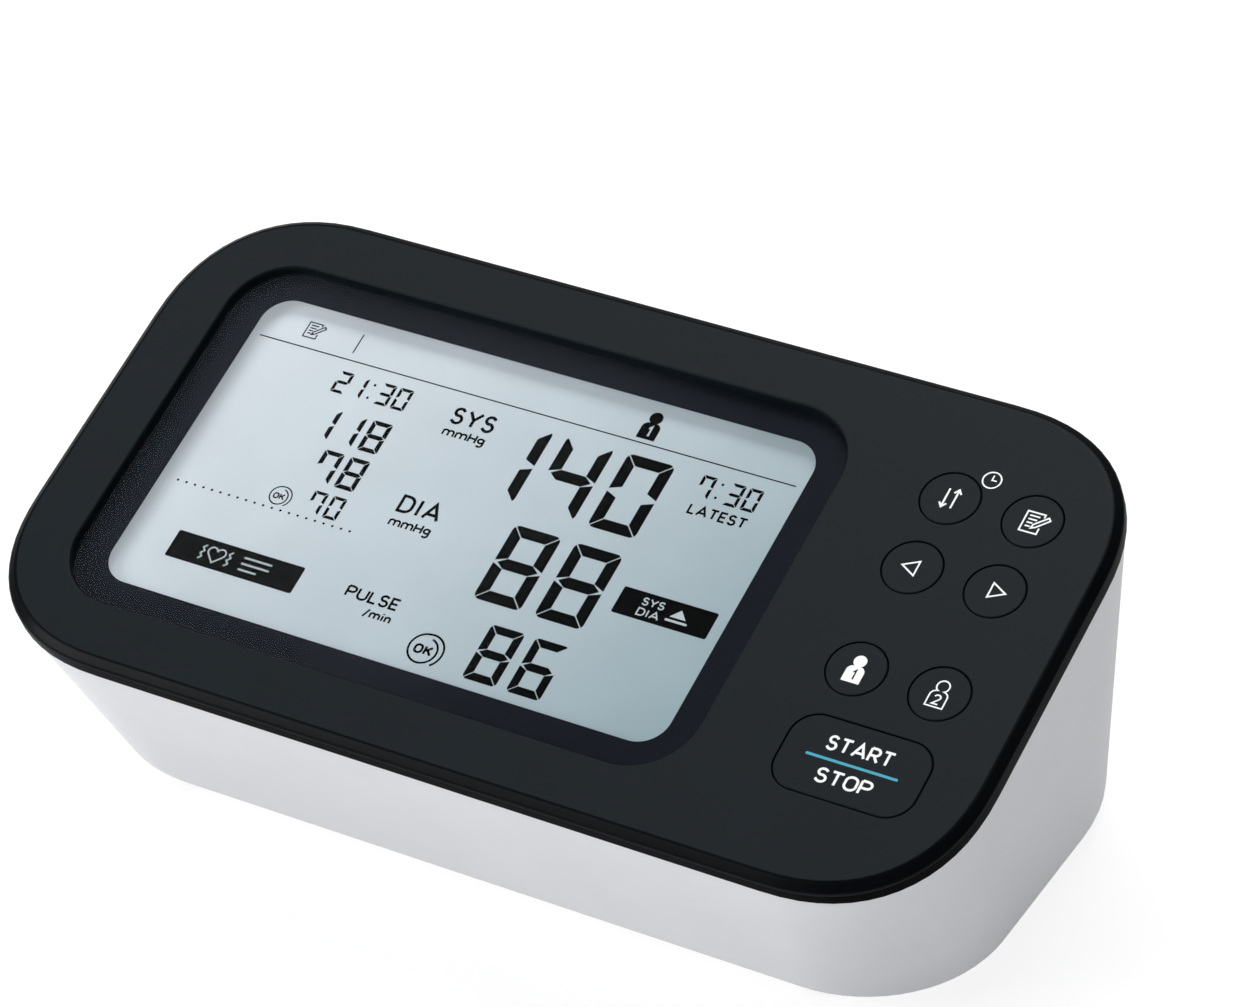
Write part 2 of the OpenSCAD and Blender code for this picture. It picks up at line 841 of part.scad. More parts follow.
// What is cut from the cover
module cover_cuts() {
    // window recess, and the opening inside its ledge
    layer(-through, ledge_top)
        window_outline(0);
    layer(0, ledge_bottom + through)
        window_outline(-ledge_w);
    // key holes and the insides of the key guides
    layer(-through, cover_t + collar_h + through) {
        key_outlines(key_gap);
        start_outline(key_gap);
    }
    layer(cover_t, cover_t + collar_h + through) {
        key_outlines(flange_w + slide_gap);
        start_outline(flange_w + slide_gap);
        for (p = key_sites)
            translate(p)
                key_tab(slide_gap);
    }
    // pilot holes
    for (p = screw_sites)
        translate(p)
            layer(boss_bottom - screw_l + web_t - 1, boss_bottom + through)
                circle(d = screw_dia + 2 * thread_gap, $fn = smooth);
    for (p = board_sites)
        translate(p)
            layer(board_top - board_screw_l, board_top + through)
                circle(board_screw_r + thread_gap, $fn = smooth);
}

// The tab that keeps a round key from turning, grown by a gap
module key_tab(grow) {
    translate([0, key_r])
        square([key_tab_w + 2 * grow, 2 * (flange_w + key_tab_reach + grow)], center = true);
}

// The clear window
module display_window() {
    color([0.75, 0.8, 0.84, 0.4])
        on_panel()
            layer(window_top, window_bottom)
                window_outline(-fit_gap);
}

// The adhesive frame under the window
module window_gasket() {
    color("black")
        on_panel()
            layer(window_bottom, ledge_top)
                difference() {
                    window_outline(-fit_gap - gasket_in);
                    window_outline(-ledge_w);
                }
}

// ---------- display and board ----------

// The display: two glass plates, the upper with a contact edge front and back
module lcd_glass() {
    color([0.78, 0.84, 0.86])
        on_panel()
            translate([window_x, 0]) {
                layer(lcd_top, lcd_top + lcd_plate_t)
                    square([lcd_w, lcd_d], center = true);
                layer(lcd_top + lcd_plate_t, lcd_bottom)
                    square([lcd_w, lcd_d - 2 * lcd_contact_w], center = true);
            }
}

// Places a child at both contact edges of the display
module contact_edges() {
    for (s = [-1, 1])
        translate([window_x, s * (lcd_d - lcd_contact_w) / 2])
            children();
}

// The tray that presses the display to the cover and guides the contact strips
module lcd_frame() {
    color([0.85, 0.85, 0.82])
        on_panel()
            difference() {
                layer(ledge_bottom, board_top)
                    translate([window_x, 0])
                        square([lcd_w + 2 * frame_t, lcd_d + 2 * frame_t], center = true);
                layer(ledge_bottom - through, lcd_bottom)
                    translate([window_x, 0])
                        square([lcd_w + 2 * fit_gap, lcd_d + 2 * fit_gap], center = true);
                layer(lcd_bottom + tray_web, board_top + through)
                    translate([window_x, 0])
                        square([lcd_w - 2 * tray_lip, lcd_d - 4 * lcd_contact_w],
                            center = true);
                layer(ledge_bottom, board_top + through)
                    contact_edges()
                        strip_outline(fit_gap);
            }
}

// A contact strip's outline, grown by a gap
module strip_outline(grow) {
    square([lcd_w - 2 * strip_in + 2 * grow, strip_w + 2 * grow], center = true);
}

// The striped rubber contacts between the display and the board
module zebra_strips() {
    color("dimgray")
        on_panel()
            layer(lcd_top + lcd_plate_t, board_top)
                contact_edges()
                    strip_outline(0);
}

// The main board, clear of the case screws' bosses
module main_board() {
    boss_space = boss_r + board_boss_gap;
    color("darkgreen")
        on_panel()
            difference() {
                layer(board_top, board_bottom)
                    soft_rect(board_w, board_d, board_corner);
                layer(board_top - through, board_bottom + through) {
                    for (p = screw_sites)
                        translate(p)
                            circle(boss_space, $fn = smooth);
                    for (p = screw_sites)
                        if (p[1] < 0)
                            translate([p[0] - boss_space, -board_d])
                                square([2 * boss_space, board_d + p[1]]);
                    for (p = board_sites)
                        translate(p)
                            circle(board_screw_r + board_hole_gap, $fn = smooth);
                }
            }
}

// The rubber mat with a dome under each key
module keypad_mat() {
    mat_x1 = screw_sites[2][0] + boss_r + mat_boss_gap;
    mat_x2 = key_x2 + key_r + mat_margin;
    mat_y1 = start_y - start_d / 2 - mat_front;
    mat_y2 = key_y1 + key_r + mat_margin;
    color("lightslategray")
        on_panel()
            union() {
                layer(board_top - mat_t, board_top)
                    translate([(mat_x1 + mat_x2) / 2, (mat_y1 + mat_y2) / 2])
                        round_rect(mat_x2 - mat_x1, mat_y2 - mat_y1, mat_corner);
                for (p = concat(key_sites, [[start_x, start_y]]))
                    translate([p[0], p[1], -board_top + mat_t])
                        cylinder(h = dome_h, r1 = dome_r, r2 = dome_top_r, $fn = smooth);
            }
}

// A chip or module on the board's lower face
module on_board(site, size) {
    layer(board_bottom, board_bottom + size[2])
        translate(site)
            square([size[0], size[1]], center = true);
}

// The processor
module processor() {
    color("black")
        on_panel()
            on_board(chip_site, chip_size);
}

// Four upright capacitors
module capacitors() {
    color("midnightblue")
        on_panel()
            for (i = [0 : 3])
                translate([capacitor_site[0] + capacitor_pitch * i, capacitor_site[1]])
                    layer(board_bottom, board_bottom + capacitor_h)
                        circle(capacitor_r, $fn = smooth);
}

// The buzzer
module buzzer() {
    color("black")
        on_panel()
            translate(buzzer_site)
                difference() {
                    layer(board_bottom, board_bottom + buzzer_h)
                        circle(buzzer_r, $fn = smooth);
                    layer(board_bottom + buzzer_h - 1, board_bottom + buzzer_h + through)
                        circle(buzzer_hole_r, $fn = smooth);
                }
}

// The radio module that passes readings on
module wireless_module() {
    color("royalblue")
        on_panel() {
            on_board(radio_site, radio_size);
            translate([0, 0, -radio_size[2]])
                on_board(screen_site, screen_size);
        }
}

// The pressure sensor, with the nozzle that its tube goes over
module pressure_sensor() {
    color("gainsboro")
        on_panel() {
            on_board([sensor_x, sensor_v], [sensor_side, sensor_side, sensor_h]);
            translate([sensor_x, sensor_v])
                layer(board_bottom + sensor_h, sensor_nozzle_bottom)
                    circle(tube_bore / 2 + nozzle_wall, $fn = smooth);
        }
}

// ---------- air line ----------

// The pump's motor, with the boss of its bearing and two terminals at its end
module pump_motor() {
    x1 = pump_x + pump_l;
    x2 = x1 + motor_l;
    color("silver")
        translate([0, pump_y, pump_z]) {
            rod_x(x1, x2, motor_dia / 2);
            rod_x(x2, x2 + motor_shaft_l, motor_shaft_r);
            for (y = [-terminal_y, terminal_y])
                translate([x2, y - terminal_size[1] / 2, -terminal_size[2] / 2])
                    cube(terminal_size);
        }
}

// The pump's head, stacked from plates, with its outlet
module pump_head() {
    pitch = (pump_l + pump_groove) / pump_plates;
    color("dimgray")
        translate([0, pump_y, pump_z])
            difference() {
                union() {
                    rod_x(pump_x, pump_x + pump_l, pump_dia / 2 - pump_groove);
                    for (i = [0 : pump_plates - 1])
                        rod_x(pump_x + pitch * i, pump_x + pitch * (i + 1) - pump_groove,
                            pump_dia / 2);
                    rod_x(pump_x - nozzle_l, pump_x, tube_dia / 2);
                }
                rod_x(pump_x - nozzle_l - through, pump_x, tube_bore / 2);
            }
}

// The foam sleeve that keeps the pump's noise from the case
module pump_sleeve() {
    r = pump_dia / 2;
    color("darkslategray")
        translate([0, pump_y, pump_z])
            difference() {
                rod_x(pump_x + sleeve_in, pump_x + pump_l + motor_l - sleeve_back,
                    r + sleeve_t);
                rod_x(pump_x, pump_x + pump_l, r);
                rod_x(pump_x, pump_x + pump_l + motor_l, motor_dia / 2);
            }
}

// The valve that lets the air out: its coil in a steel yoke, and its nozzle
module release_valve() {
    color("goldenrod")
        translate([0, air_y, air_z]) {
            rod_x(valve_x, valve_x + valve_l, valve_r);
            for (x = [valve_x, valve_x + valve_l - yoke_t])
                translate([x, -yoke_r, 0])
                    cube([yoke_t, 2 * yoke_r, valve_r]);
            translate([valve_x, -yoke_r, valve_r - yoke_deep])
                cube([valve_l, 2 * yoke_r, yoke_t]);
            rod_x(valve_x - valve_nozzle_l, valve_x, tube_dia / 2);
        }
}

// The junction of the pump's, sensor's, valve's and socket's lines
module air_manifold() {
    color("lightgray")
        difference() {
            union() {
                translate([0, air_y, air_z])
                    rod_x(junction_x1, junction_x2, junction_r);
                for (x = [sensor_x, drop_x])
                    translate([x, air_y, air_z])
                        cylinder(h = junction_r + spigot_h, d = tube_dia, $fn = smooth);
            }
            translate([0, air_y, air_z])
                rod_x(junction_x1 - through, junction_x2 + through, tube_bore / 2);
            for (x = [sensor_x, drop_x])
                translate([x, air_y, air_z])
                    cylinder(h = junction_r + spigot_h + through, d = tube_bore,
                        $fn = smooth);
        }
}

// The air tubes: pump, valve, sensor and socket, each to the junction
module air_tubes() {
    outlet = pump_x - nozzle_l;
    rise_x = jack_tail_x + bend_r;
    sensor_end = -sensor_nozzle_bottom;
    color("gray") {
        bent_tube([[outlet, pump_y, pump_z], [drop_x, pump_y, pump_z],
            [drop_x, air_y, pump_z], [drop_x, air_y, junction_top + spigot_h]], bend_r);
        bent_tube([[junction_x1, air_y, air_z], [rise_x, air_y, air_z],
            [rise_x, air_y, jack_z], [jack_tail_x, air_y, jack_z]], bend_r);
        bent_tube([[sensor_x, air_y, junction_top + spigot_h],
            [sensor_x, air_y, sensor_corner_z],
            panel_place(sensor_x, sensor_v, sensor_end)], sensor_bend_r);
        translate([0, air_y, air_z])
            tube_x(junction_x2, valve_x - valve_nozzle_l);
    }
}

// The socket for the cuff's air plug
module air_jack() {
    tail_x = jack_pad_t + jack_flange_t;
    color("darkgray")
        translate([-jack_face, air_y, jack_z])
            difference() {
                union() {
                    rod_x(0, jack_pad_t, jack_r);
                    rod_x(jack_pad_t, tail_x, jack_flange_r);
                    rod_x(tail_x, jack_depth + 2, jack_r);
                }
                rod_x(-through, jack_depth, jack_bore / 2);
            }
}

// The socket for a mains adaptor
module dc_jack() {
    color("black")
        translate([dc_x, dc_face, dc_z])
            difference() {
                union() {
                    rotate([90, 0, 0])
                        cylinder(h = dc_pad_t, r = dc_r, $fn = smooth);
                    translate([-dc_box[0] / 2, -dc_pad_t - dc_box[1], -dc_box[2] / 2])
                        cube(dc_box);
                }
                rotate([90, 0, 0])
                    translate([0, 0, -through])
                        cylinder(h = dc_depth + through, r = dc_bore / 2, $fn = smooth);
            }
}

// The pin in the middle of the mains socket
module dc_pin() {
    color("silver")
        translate([dc_x, dc_face - dc_depth, dc_z])
            rotate([-90, 0, 0])
                cylinder(h = dc_pin_l, r = dc_pin_r, $fn = smooth);
}

// ---------- battery bay ----------

// Places children at each cell, turned end for end in every second place
module each_cell() {
    for (i = [0 : 3])
        translate([bay_x + bay_side_gap + cell_pitch * (i + 0.5), bay_y + bay_d / 2,
                foot_h + lid_seat + cell_rest + cell_dia / 2])
            rotate([0, 0, i % 2 == 0 ? 0 : 180])
                translate([0, -bay_d / 2, 0])
                    rotate([-90, 0, 0])
                        children();
}

// Four AA cells
module battery_cells() {
    color("steelblue")
        each_cell()
            translate([0, 0, plate_t + spring_l]) {
                cylinder(h = cell_l - button_h, d = cell_dia, $fn = smooth);
                translate([0, 0, cell_l - button_h])
                    cylinder(h = button_h, r = button_r, $fn = smooth);
            }
}

// The springs at the cells' flat ends
module battery_springs() {
    color("silver")
        each_cell()
            translate([0, 0, plate_t])
                cone_spring();
}

// One coiled spring, wide on its plate and narrow on the cell, ground flat at both ends
module cone_spring() {
    n = spring_turns * spring_steps;
    k = wire_sides;
    points = [for (i = [0 : n]) for (j = [0 : k - 1])
        let (turn = 360 * i / spring_steps, a = 360 * j / k,
             r = spring_r + (button_r - spring_r) * i / n + wire_r * cos(a))
            [r * cos(turn), r * sin(turn), spring_l * i / n + wire_r * sin(a)]];
    walls = [for (i = [0 : n - 1]) for (j = [0 : k - 1])
        let (a = i * k + j, b = i * k + (j + 1) % k)
            each [[a, b, b + k], [a, b + k, a + k]]];
    ends = [[for (j = [0 : k - 1]) k - 1 - j], [for (j = [0 : k - 1]) n * k + j]];
    intersection() {
        polyhedron(points, concat(walls, ends));
        cylinder(h = spring_l, r = spring_r + through, $fn = smooth);
    }
}

// The contact plates at both ends of each cell
module battery_plates() {
    color("silver")
        each_cell()
            for (z = [0, bay_d - plate_t])
                translate([-plate_side / 2, -plate_side / 2, z])
                    cube([plate_side, plate_side, plate_t]);
}

// The cover of the battery bay: its front edge is round, with a pin at each end, and it
// turns there; the grip's grooves are by its back edge
module battery_cover() {
    color("whitesmoke")
        translate([0, 0, foot_h]) {
            difference() {
                translate([lid_x, lid_y + hinge_r, 0])
                    cube([lid_w, lid_d - hinge_r, lid_t]);
                for (i = [1 : grip_count])
                    translate([bay_x + bay_w / 2 - latch_w / 2,
                            lid_y + lid_d + grip_w - grip_pitch * (i + 0.5), -through])
                        cube([latch_w, grip_w, grip_deep + through]);
            }
            translate([0, lid_y + hinge_r, hinge_r]) {
                rod_x(lid_x, lid_x + lid_w, hinge_r);
                rod_x(lid_x - pin_l, lid_x + lid_w + pin_l, pin_r);
            }
        }
}

// ---------- feet and screws ----------

// The four rubber feet
module rubber_feet() {
    color("dimgray")
        for (p = foot_sites)
            translate([p[0], p[1], 0]) {
                cylinder(h = foot_edge, d1 = foot_dia - 2 * foot_edge, d2 = foot_dia,
                    $fn = smooth);
                translate([0, 0, foot_edge])
                    cylinder(h = foot_h + foot_sink - foot_edge, d = foot_dia, $fn = smooth);
            }
}

// A screw pointing up, with the underside of its head at z = 0
module screw(d, l, head, h) {
    difference() {
        union() {
            translate([0, 0, -h])
                cylinder(h = h, r = head, $fn = smooth);
            cylinder(h = l, d = d, $fn = smooth);
        }
        for (turn = [0, 90])
            rotate([0, 0, turn])
                translate([-head * slot_l / 2, -head * slot_w / 2, -h - through])
                    cube([head * slot_l, head * slot_w, h * slot_deep + through]);
    }
}

// The screws that hold the body to the front cover
module case_screws() {
    color("silver")
        on_panel()
            for (p = screw_sites)
                translate([p[0], p[1], -boss_bottom - web_t])
                    screw(screw_dia, screw_l, screw_head / 2, head_h);
}

// The screws that hold the board to the front cover
module board_screws() {
    color("silver")
        on_panel()
            for (p = board_sites)
                translate([p[0], p[1], -board_bottom])
                    screw(2 * board_screw_r, board_screw_l + board_t - board_screw_gap,
                        board_head_r, board_head_h);
}

// ---------- keys ----------

// One round key: a cap in the cover, a flange behind it, a tab and a stem
module round_key(p) {
    color([0.13, 0.15, 0.17])
        on_panel()
            translate(p) {
                translate([0, 0, -key_edge])
                    cylinder(h = key_edge, r1 = key_r, r2 = key_r - key_edge, $fn = smooth);
                layer(key_edge, cover_t + flange_rest)
                    circle(key_r, $fn = smooth);
                layer(cover_t + flange_rest, cover_t + flange_rest + flange_t) {
                    circle(key_r + flange_w, $fn = smooth);
                    key_tab(0);
                }
                layer(cover_t + flange_rest + flange_t, stem_bottom)
                    circle(stem_r, $fn = smooth);
            }
}

module sync_button() { round_key(key_sites[0]); }
module memory_button() { round_key(key_sites[1]); }
module back_button() { round_key(key_sites[2]); }
module forward_button() { round_key(key_sites[3]); }
module user_1_button() { round_key(key_sites[4]); }
module user_2_button() { round_key(key_sites[5]); }

// The wide start and stop key
module start_stop_button() {
    color([0.13, 0.15, 0.17])
        on_panel() {
            hull() {
                layer(0, sheet)
                    start_outline(-key_edge);
                layer(key_edge, cover_t + flange_rest)
                    start_outline(0);
            }
            layer(cover_t + flange_rest, cover_t + flange_rest + flange_t)
                start_outline(flange_w);
            translate([start_x, start_y])
                layer(cover_t + flange_rest + flange_t, stem_bottom)
                    circle(stem_r, $fn = smooth);
        }
}

body_shell();
rim_trim();
front_cover();
display_window();
window_gasket();
lcd_glass();
lcd_frame();
zebra_strips();
main_board();
keypad_mat();
processor();
capacitors();
buzzer();
wireless_module();
pressure_sensor();
pump_motor();
pump_head();
pump_sleeve();
release_valve();
air_manifold();
air_tubes();
air_jack();
dc_jack();
dc_pin();
battery_cells();
battery_springs();
battery_plates();
rubber_feet();
case_screws();
board_screws();
sync_button();
memory_button();
back_button();
forward_button();
user_1_button();
user_2_button();
start_stop_button();
battery_cover();
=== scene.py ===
"""A table-top blood pressure monitor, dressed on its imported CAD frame."""

import math

import bmesh
import bpy
from mathutils import Matrix, Vector


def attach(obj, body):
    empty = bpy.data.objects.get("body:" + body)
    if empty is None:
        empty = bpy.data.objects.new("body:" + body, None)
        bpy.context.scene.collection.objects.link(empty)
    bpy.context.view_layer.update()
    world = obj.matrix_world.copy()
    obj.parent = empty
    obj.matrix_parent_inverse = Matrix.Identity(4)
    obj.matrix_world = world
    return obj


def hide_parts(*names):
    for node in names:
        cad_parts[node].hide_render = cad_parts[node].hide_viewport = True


MM = 0.001

# The panel's own frame, with z up from its face. The constants after it are in it, in mm.
TILT = math.radians(20)
PANEL = Matrix.Translation((0, -0.0069605, 0.0582)) @ Matrix.Rotation(TILT, 4, "X")
FACE_REACH = 0.05               # a point this near a level counts as on it
BEVEL_FOOT = -1.2               # level where the bevel round the panel ends
OUTLINE_X, OUTLINE_Y = 87, 40   # past these a point is outside the recess and the key holes
KEY_HOLES_X = 50                # past this the holes of the keys begin
LEVEL_FACE = 0.985              # a face whose normal rises less than this is tilted

WINDOW_X = -19.65
WINDOW_W, WINDOW_D, WINDOW_R = 126.15, 77.25, 12.0
WINDOW_BACK = -2.5
OPENING = (-19.5, 0.22, 113.55, 65.15, 5.6)     # clear part: middle, width, depth, corner
BORDER_EDGE = 0.2               # how far the border stays inside the window's edge

DISPLAY_FACE = -4.6
GRID = 11                       # steps per mm of the grid that the display is laid out on
GRID_LEFT, GRID_TOP = -78.36, 35.34

FILM = 0.02                     # thickness of a printed film
CLEAR_FILM = 0.03               # thickness of a clear sign over a black field
STROKE_STEP = 0.003             # how much higher each further stroke of a sign ends
KEY_PRINT_FOOT = -0.002         # printed signs start this little inside their key

KEYS = {
    "sync": (63.7, 28.45),
    "memory": (79.2, 28.45),
    "back": (63.7, 13.45),
    "forward": (79.2, 13.45),
    "user_1": (63.7, -8.2),
    "user_2": (79.2, -8.2),
}
START = (71.45, -25.7)
CLOCK = (68.95, 34.1)
USER_FOOT = 2.8                 # from a user key's middle down to the foot of its figure


# ---------- camera and frame ----------

def set_camera():
    """The photograph's own place and lens."""
    bpy.ops.object.camera_add(
        location=(0.4012012, -0.6116577, 0.5780392),
        rotation=(0.952637, 0.057917, 0.527463),
    )
    camera = bpy.context.object
    camera.name = "photo_camera"
    camera.data.sensor_width = 36
    camera.data.lens = 150.743
    bpy.context.scene.camera = camera


for leftover in ("Cube", "Light", "Camera"):
    if leftover in bpy.data.objects:
        bpy.data.objects.remove(bpy.data.objects[leftover])
set_camera()
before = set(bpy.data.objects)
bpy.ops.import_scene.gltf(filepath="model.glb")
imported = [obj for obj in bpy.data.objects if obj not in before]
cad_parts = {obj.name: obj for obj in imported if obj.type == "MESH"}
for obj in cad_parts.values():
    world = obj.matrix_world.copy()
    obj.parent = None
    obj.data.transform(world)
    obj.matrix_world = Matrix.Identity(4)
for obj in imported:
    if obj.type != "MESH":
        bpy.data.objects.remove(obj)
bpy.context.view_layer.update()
bpy.context.scene.view_settings.view_transform = "Standard"


# ---------- hand tools ----------

def take(piece):
    """Selects one piece alone."""
    bpy.ops.object.select_all(action="DESELECT")
    piece.select_set(True)
    bpy.context.view_layer.objects.active = piece


def settle(piece, place):
    """Puts a piece's place into its mesh, so that its object sits at the origin."""
    piece.matrix_world = place
    take(piece)
    bpy.ops.object.transform_apply(location=True, rotation=True, scale=True)
    return piece


def hand_over(piece, body, material, nodes=()):
    """Gives a piece its finish and its body, and hides the CAD nodes that it stands for."""
    piece.data.materials.clear()
    piece.data.materials.append(material)
    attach(piece, body)
    if nodes:
        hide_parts(*nodes)
    return piece


def moulding(node, name):
    """A copy of a CAD node with its doubles merged and its flat faces made whole."""
    piece = bpy.data.objects.new(name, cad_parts[node].data.copy())
    bpy.context.scene.collection.objects.link(piece)
    take(piece)
    bpy.ops.mesh.customdata_custom_splitnormals_clear()
    bpy.ops.object.mode_set(mode="EDIT")
    bpy.ops.mesh.select_all(action="SELECT")
    bpy.ops.mesh.remove_doubles(threshold=0.002 * MM)
    bpy.ops.mesh.dissolve_limited(angle_limit=math.radians(0.5))
    bpy.ops.object.mode_set(mode="OBJECT")
    return piece


def round_edges(piece, chosen, width, segments):
    """Rounds the sharp edges whose two ends, in the panel's frame in mm, are chosen."""
    take(piece)
    bpy.ops.object.mode_set(mode="EDIT")
    bpy.ops.mesh.select_mode(type="EDGE")
    bpy.ops.mesh.select_all(action="DESELECT")
    mesh = bmesh.from_edit_mesh(piece.data)
    back = PANEL.inverted()
    for edge in mesh.edges:
        if len(edge.link_faces) == 2 and edge.calc_face_angle(0) > math.radians(20):
            a, b = ((back @ v.co) / MM for v in edge.verts)
            if chosen(a) and chosen(b):
                edge.select_set(True)
    bmesh.update_edit_mesh(piece.data)
    bpy.ops.mesh.bevel(offset=width * MM, segments=segments, affect="EDGES")
    bpy.ops.object.mode_set(mode="OBJECT")


def smooth(piece, angle=32):
    """Smooth shading that keeps sharp edges, with flat faces left flat."""
    take(piece)
    bpy.ops.object.shade_smooth_by_angle(angle=math.radians(angle))
    weigh = piece.modifiers.new("flat_faces", "WEIGHTED_NORMAL")
    weigh.keep_sharp = True
    weigh.weight = 100
    bpy.ops.object.modifier_apply(modifier=weigh.name)


# ---------- finishes ----------

def new_group(name, inputs, outputs):
    """A shader node group with named sockets."""
    group = bpy.data.node_groups.new(name, "ShaderNodeTree")
    for label, value in inputs:
        socket = group.interface.new_socket(
            label, in_out="INPUT", socket_type="NodeSocketFloat"
        )
        socket.default_value = value
    for label in outputs:
        group.interface.new_socket(
            label, in_out="OUTPUT", socket_type="NodeSocketFloat"
        )
    return group


def make_mould_grain():
    """Fine grain that a spark-eroded mould leaves, and a slow drift in shade."""
    group = new_group("mould_grain", [("Fineness", 5000.0)], ["Height", "Mottle"])
    nodes, link = group.nodes, group.links.new
    ends, start = nodes.new("NodeGroupOutput"), nodes.new("NodeGroupInput")
    place = nodes.new("ShaderNodeTexCoord")
    grain = nodes.new("ShaderNodeTexNoise")
    grain.inputs["Detail"].default_value = 3.0
    grain.inputs["Roughness"].default_value = 0.6
    link(place.outputs["Object"], grain.inputs["Vector"])
    link(start.outputs["Fineness"], grain.inputs["Scale"])
    drift = nodes.new("ShaderNodeTexNoise")
    drift.inputs["Scale"].default_value = 60.0
    drift.inputs["Detail"].default_value = 4.0
    link(place.outputs["Object"], drift.inputs["Vector"])
    blend = nodes.new("ShaderNodeMath")
    blend.operation = "MULTIPLY_ADD"
    blend.inputs[1].default_value = 0.35
    link(grain.outputs["Fac"], blend.inputs[0])
    link(drift.outputs["Fac"], blend.inputs[2])
    fit = nodes.new("ShaderNodeMapRange")
    fit.inputs["From Min"].default_value = 0.45
    fit.inputs["From Max"].default_value = 0.95
    link(blend.outputs[0], fit.inputs["Value"])
    link(grain.outputs["Fac"], ends.inputs["Height"])
    link(fit.outputs["Result"], ends.inputs["Mottle"])


def finish_of(name, deep, pale, rough, fineness, bite, relief, **sockets):
    """A procedural finish: shade and gloss drift with the grain, which is also felt.

    deep and pale are its two shades and rough its two roughnesses. fineness is the grain's
    scale, bite the strength of its bump and relief its height in mm.
    """
    made = bpy.data.materials.new(name)
    made.use_nodes = True
    nodes, link = made.node_tree.nodes, made.node_tree.links.new
    shader = nodes["Principled BSDF"]
    grain = nodes.new("ShaderNodeGroup")
    grain.node_tree = bpy.data.node_groups["mould_grain"]
    grain.inputs["Fineness"].default_value = fineness
    shade = nodes.new("ShaderNodeMix")
    shade.data_type = "RGBA"
    shade.inputs[6].default_value = (*deep, 1)
    shade.inputs[7].default_value = (*pale, 1)
    link(grain.outputs["Mottle"], shade.inputs[0])
    link(shade.outputs[2], shader.inputs["Base Color"])
    gloss = nodes.new("ShaderNodeMapRange")
    gloss.inputs["To Min"].default_value = rough[0]
    gloss.inputs["To Max"].default_value = rough[1]
    link(grain.outputs["Mottle"], gloss.inputs["Value"])
    link(gloss.outputs["Result"], shader.inputs["Roughness"])
    bump = nodes.new("ShaderNodeBump")
    bump.inputs["Strength"].default_value = bite
    bump.inputs["Distance"].default_value = relief * MM
    link(grain.outputs["Height"], bump.inputs["Height"])
    link(bump.outputs["Normal"], shader.inputs["Normal"])
    for socket, value in sockets.items():
        shader.inputs[socket.replace("_", " ")].default_value = value
    return made


def make_reflector_with_painted_light():
    """The display's grey film with painted light: it is painted lighter at its upper left corner
    and darker towards the lower right, and it glows faintly though it is no lamp.
    """
    made = finish_of("display_reflector_painted_light", (0.91, 0.91, 0.91), (1, 1, 1), (0.4, 0.48), 3600.0,
                     0.25, 0.004, Specular_IOR_Level=0.2)
    nodes, link = made.node_tree.nodes, made.node_tree.links.new
    shader = nodes["Principled BSDF"]
    grain = shader.inputs["Base Color"].links[0].from_socket
    place = nodes.new("ShaderNodeTexCoord")
    # painted sheen: how far a place lies from the upper left corner to the lower right one, along
    # which the film is painted darker
    along = nodes.new("ShaderNodeVectorMath")
    along.operation = "DOT_PRODUCT"
    along.inputs[1].default_value = (1.0, -0.55, 0.0)
    link(place.outputs["Object"], along.inputs[0])
    span = nodes.new("ShaderNodeMapRange")
    span.inputs["From Min"].default_value = -0.088
    span.inputs["From Max"].default_value = 0.052
    link(along.outputs["Value"], span.inputs["Value"])
    bend = nodes.new("ShaderNodeMath")
    bend.operation = "POWER"
    bend.inputs[1].default_value = 1.3
    link(span.outputs["Result"], bend.inputs[0])
    # painted sheen: the pale and the dark end of the film's painted gradient
    shade = nodes.new("ShaderNodeMix")
    shade.data_type = "RGBA"
    shade.inputs[6].default_value = (0.34, 0.368, 0.395, 1)
    shade.inputs[7].default_value = (0.155, 0.205, 0.227, 1)
    link(bend.outputs[0], shade.inputs[0])
    both = nodes.new("ShaderNodeMix")
    both.data_type = "RGBA"
    both.blend_type = "MULTIPLY"
    both.inputs[0].default_value = 1.0
    link(shade.outputs[2], both.inputs[6])
    link(grain, both.inputs[7])
    link(both.outputs[2], shader.inputs["Base Color"])
    # painted glow: the film shines in its own colour though it is no lamp, which fills in the
    # recess's shadow on it
    link(both.outputs[2], shader.inputs["Emission Color"])
    shader.inputs["Emission Strength"].default_value = 1.0
    return made


def make_floor_finish():
    """A white floor whose shadows look faint, and which doesn't hide what is seen from below."""
    made = finish_of("floor_white", (0.84, 0.84, 0.84), (0.87, 0.87, 0.87), (0.7, 0.8), 300.0,
                     0.05, 0.01)
    nodes, link = made.node_tree.nodes, made.node_tree.links.new
    glow = nodes.new("ShaderNodeEmission")
    glow.inputs["Strength"].default_value = 1.2
    path = nodes.new("ShaderNodeLightPath")
    # the floor glows more to the camera than to the walls that it lights
    share = nodes.new("ShaderNodeMapRange")
    share.inputs["To Min"].default_value = 0.28
    share.inputs["To Max"].default_value = 0.68
    link(path.outputs["Is Camera Ray"], share.inputs["Value"])
    both = nodes.new("ShaderNodeMixShader")
    link(share.outputs["Result"], both.inputs[0])
    link(nodes["Principled BSDF"].outputs[0], both.inputs[1])
    link(glow.outputs[0], both.inputs[2])
    side = nodes.new("ShaderNodeNewGeometry")
    through = nodes.new("ShaderNodeBsdfTransparent")
    top = nodes.new("ShaderNodeMixShader")
    link(side.outputs["Backfacing"], top.inputs[0])
    link(both.outputs[0], top.inputs[1])
    link(through.outputs[0], top.inputs[2])
    link(top.outputs[0], nodes["Material Output"].inputs["Surface"])
    return made


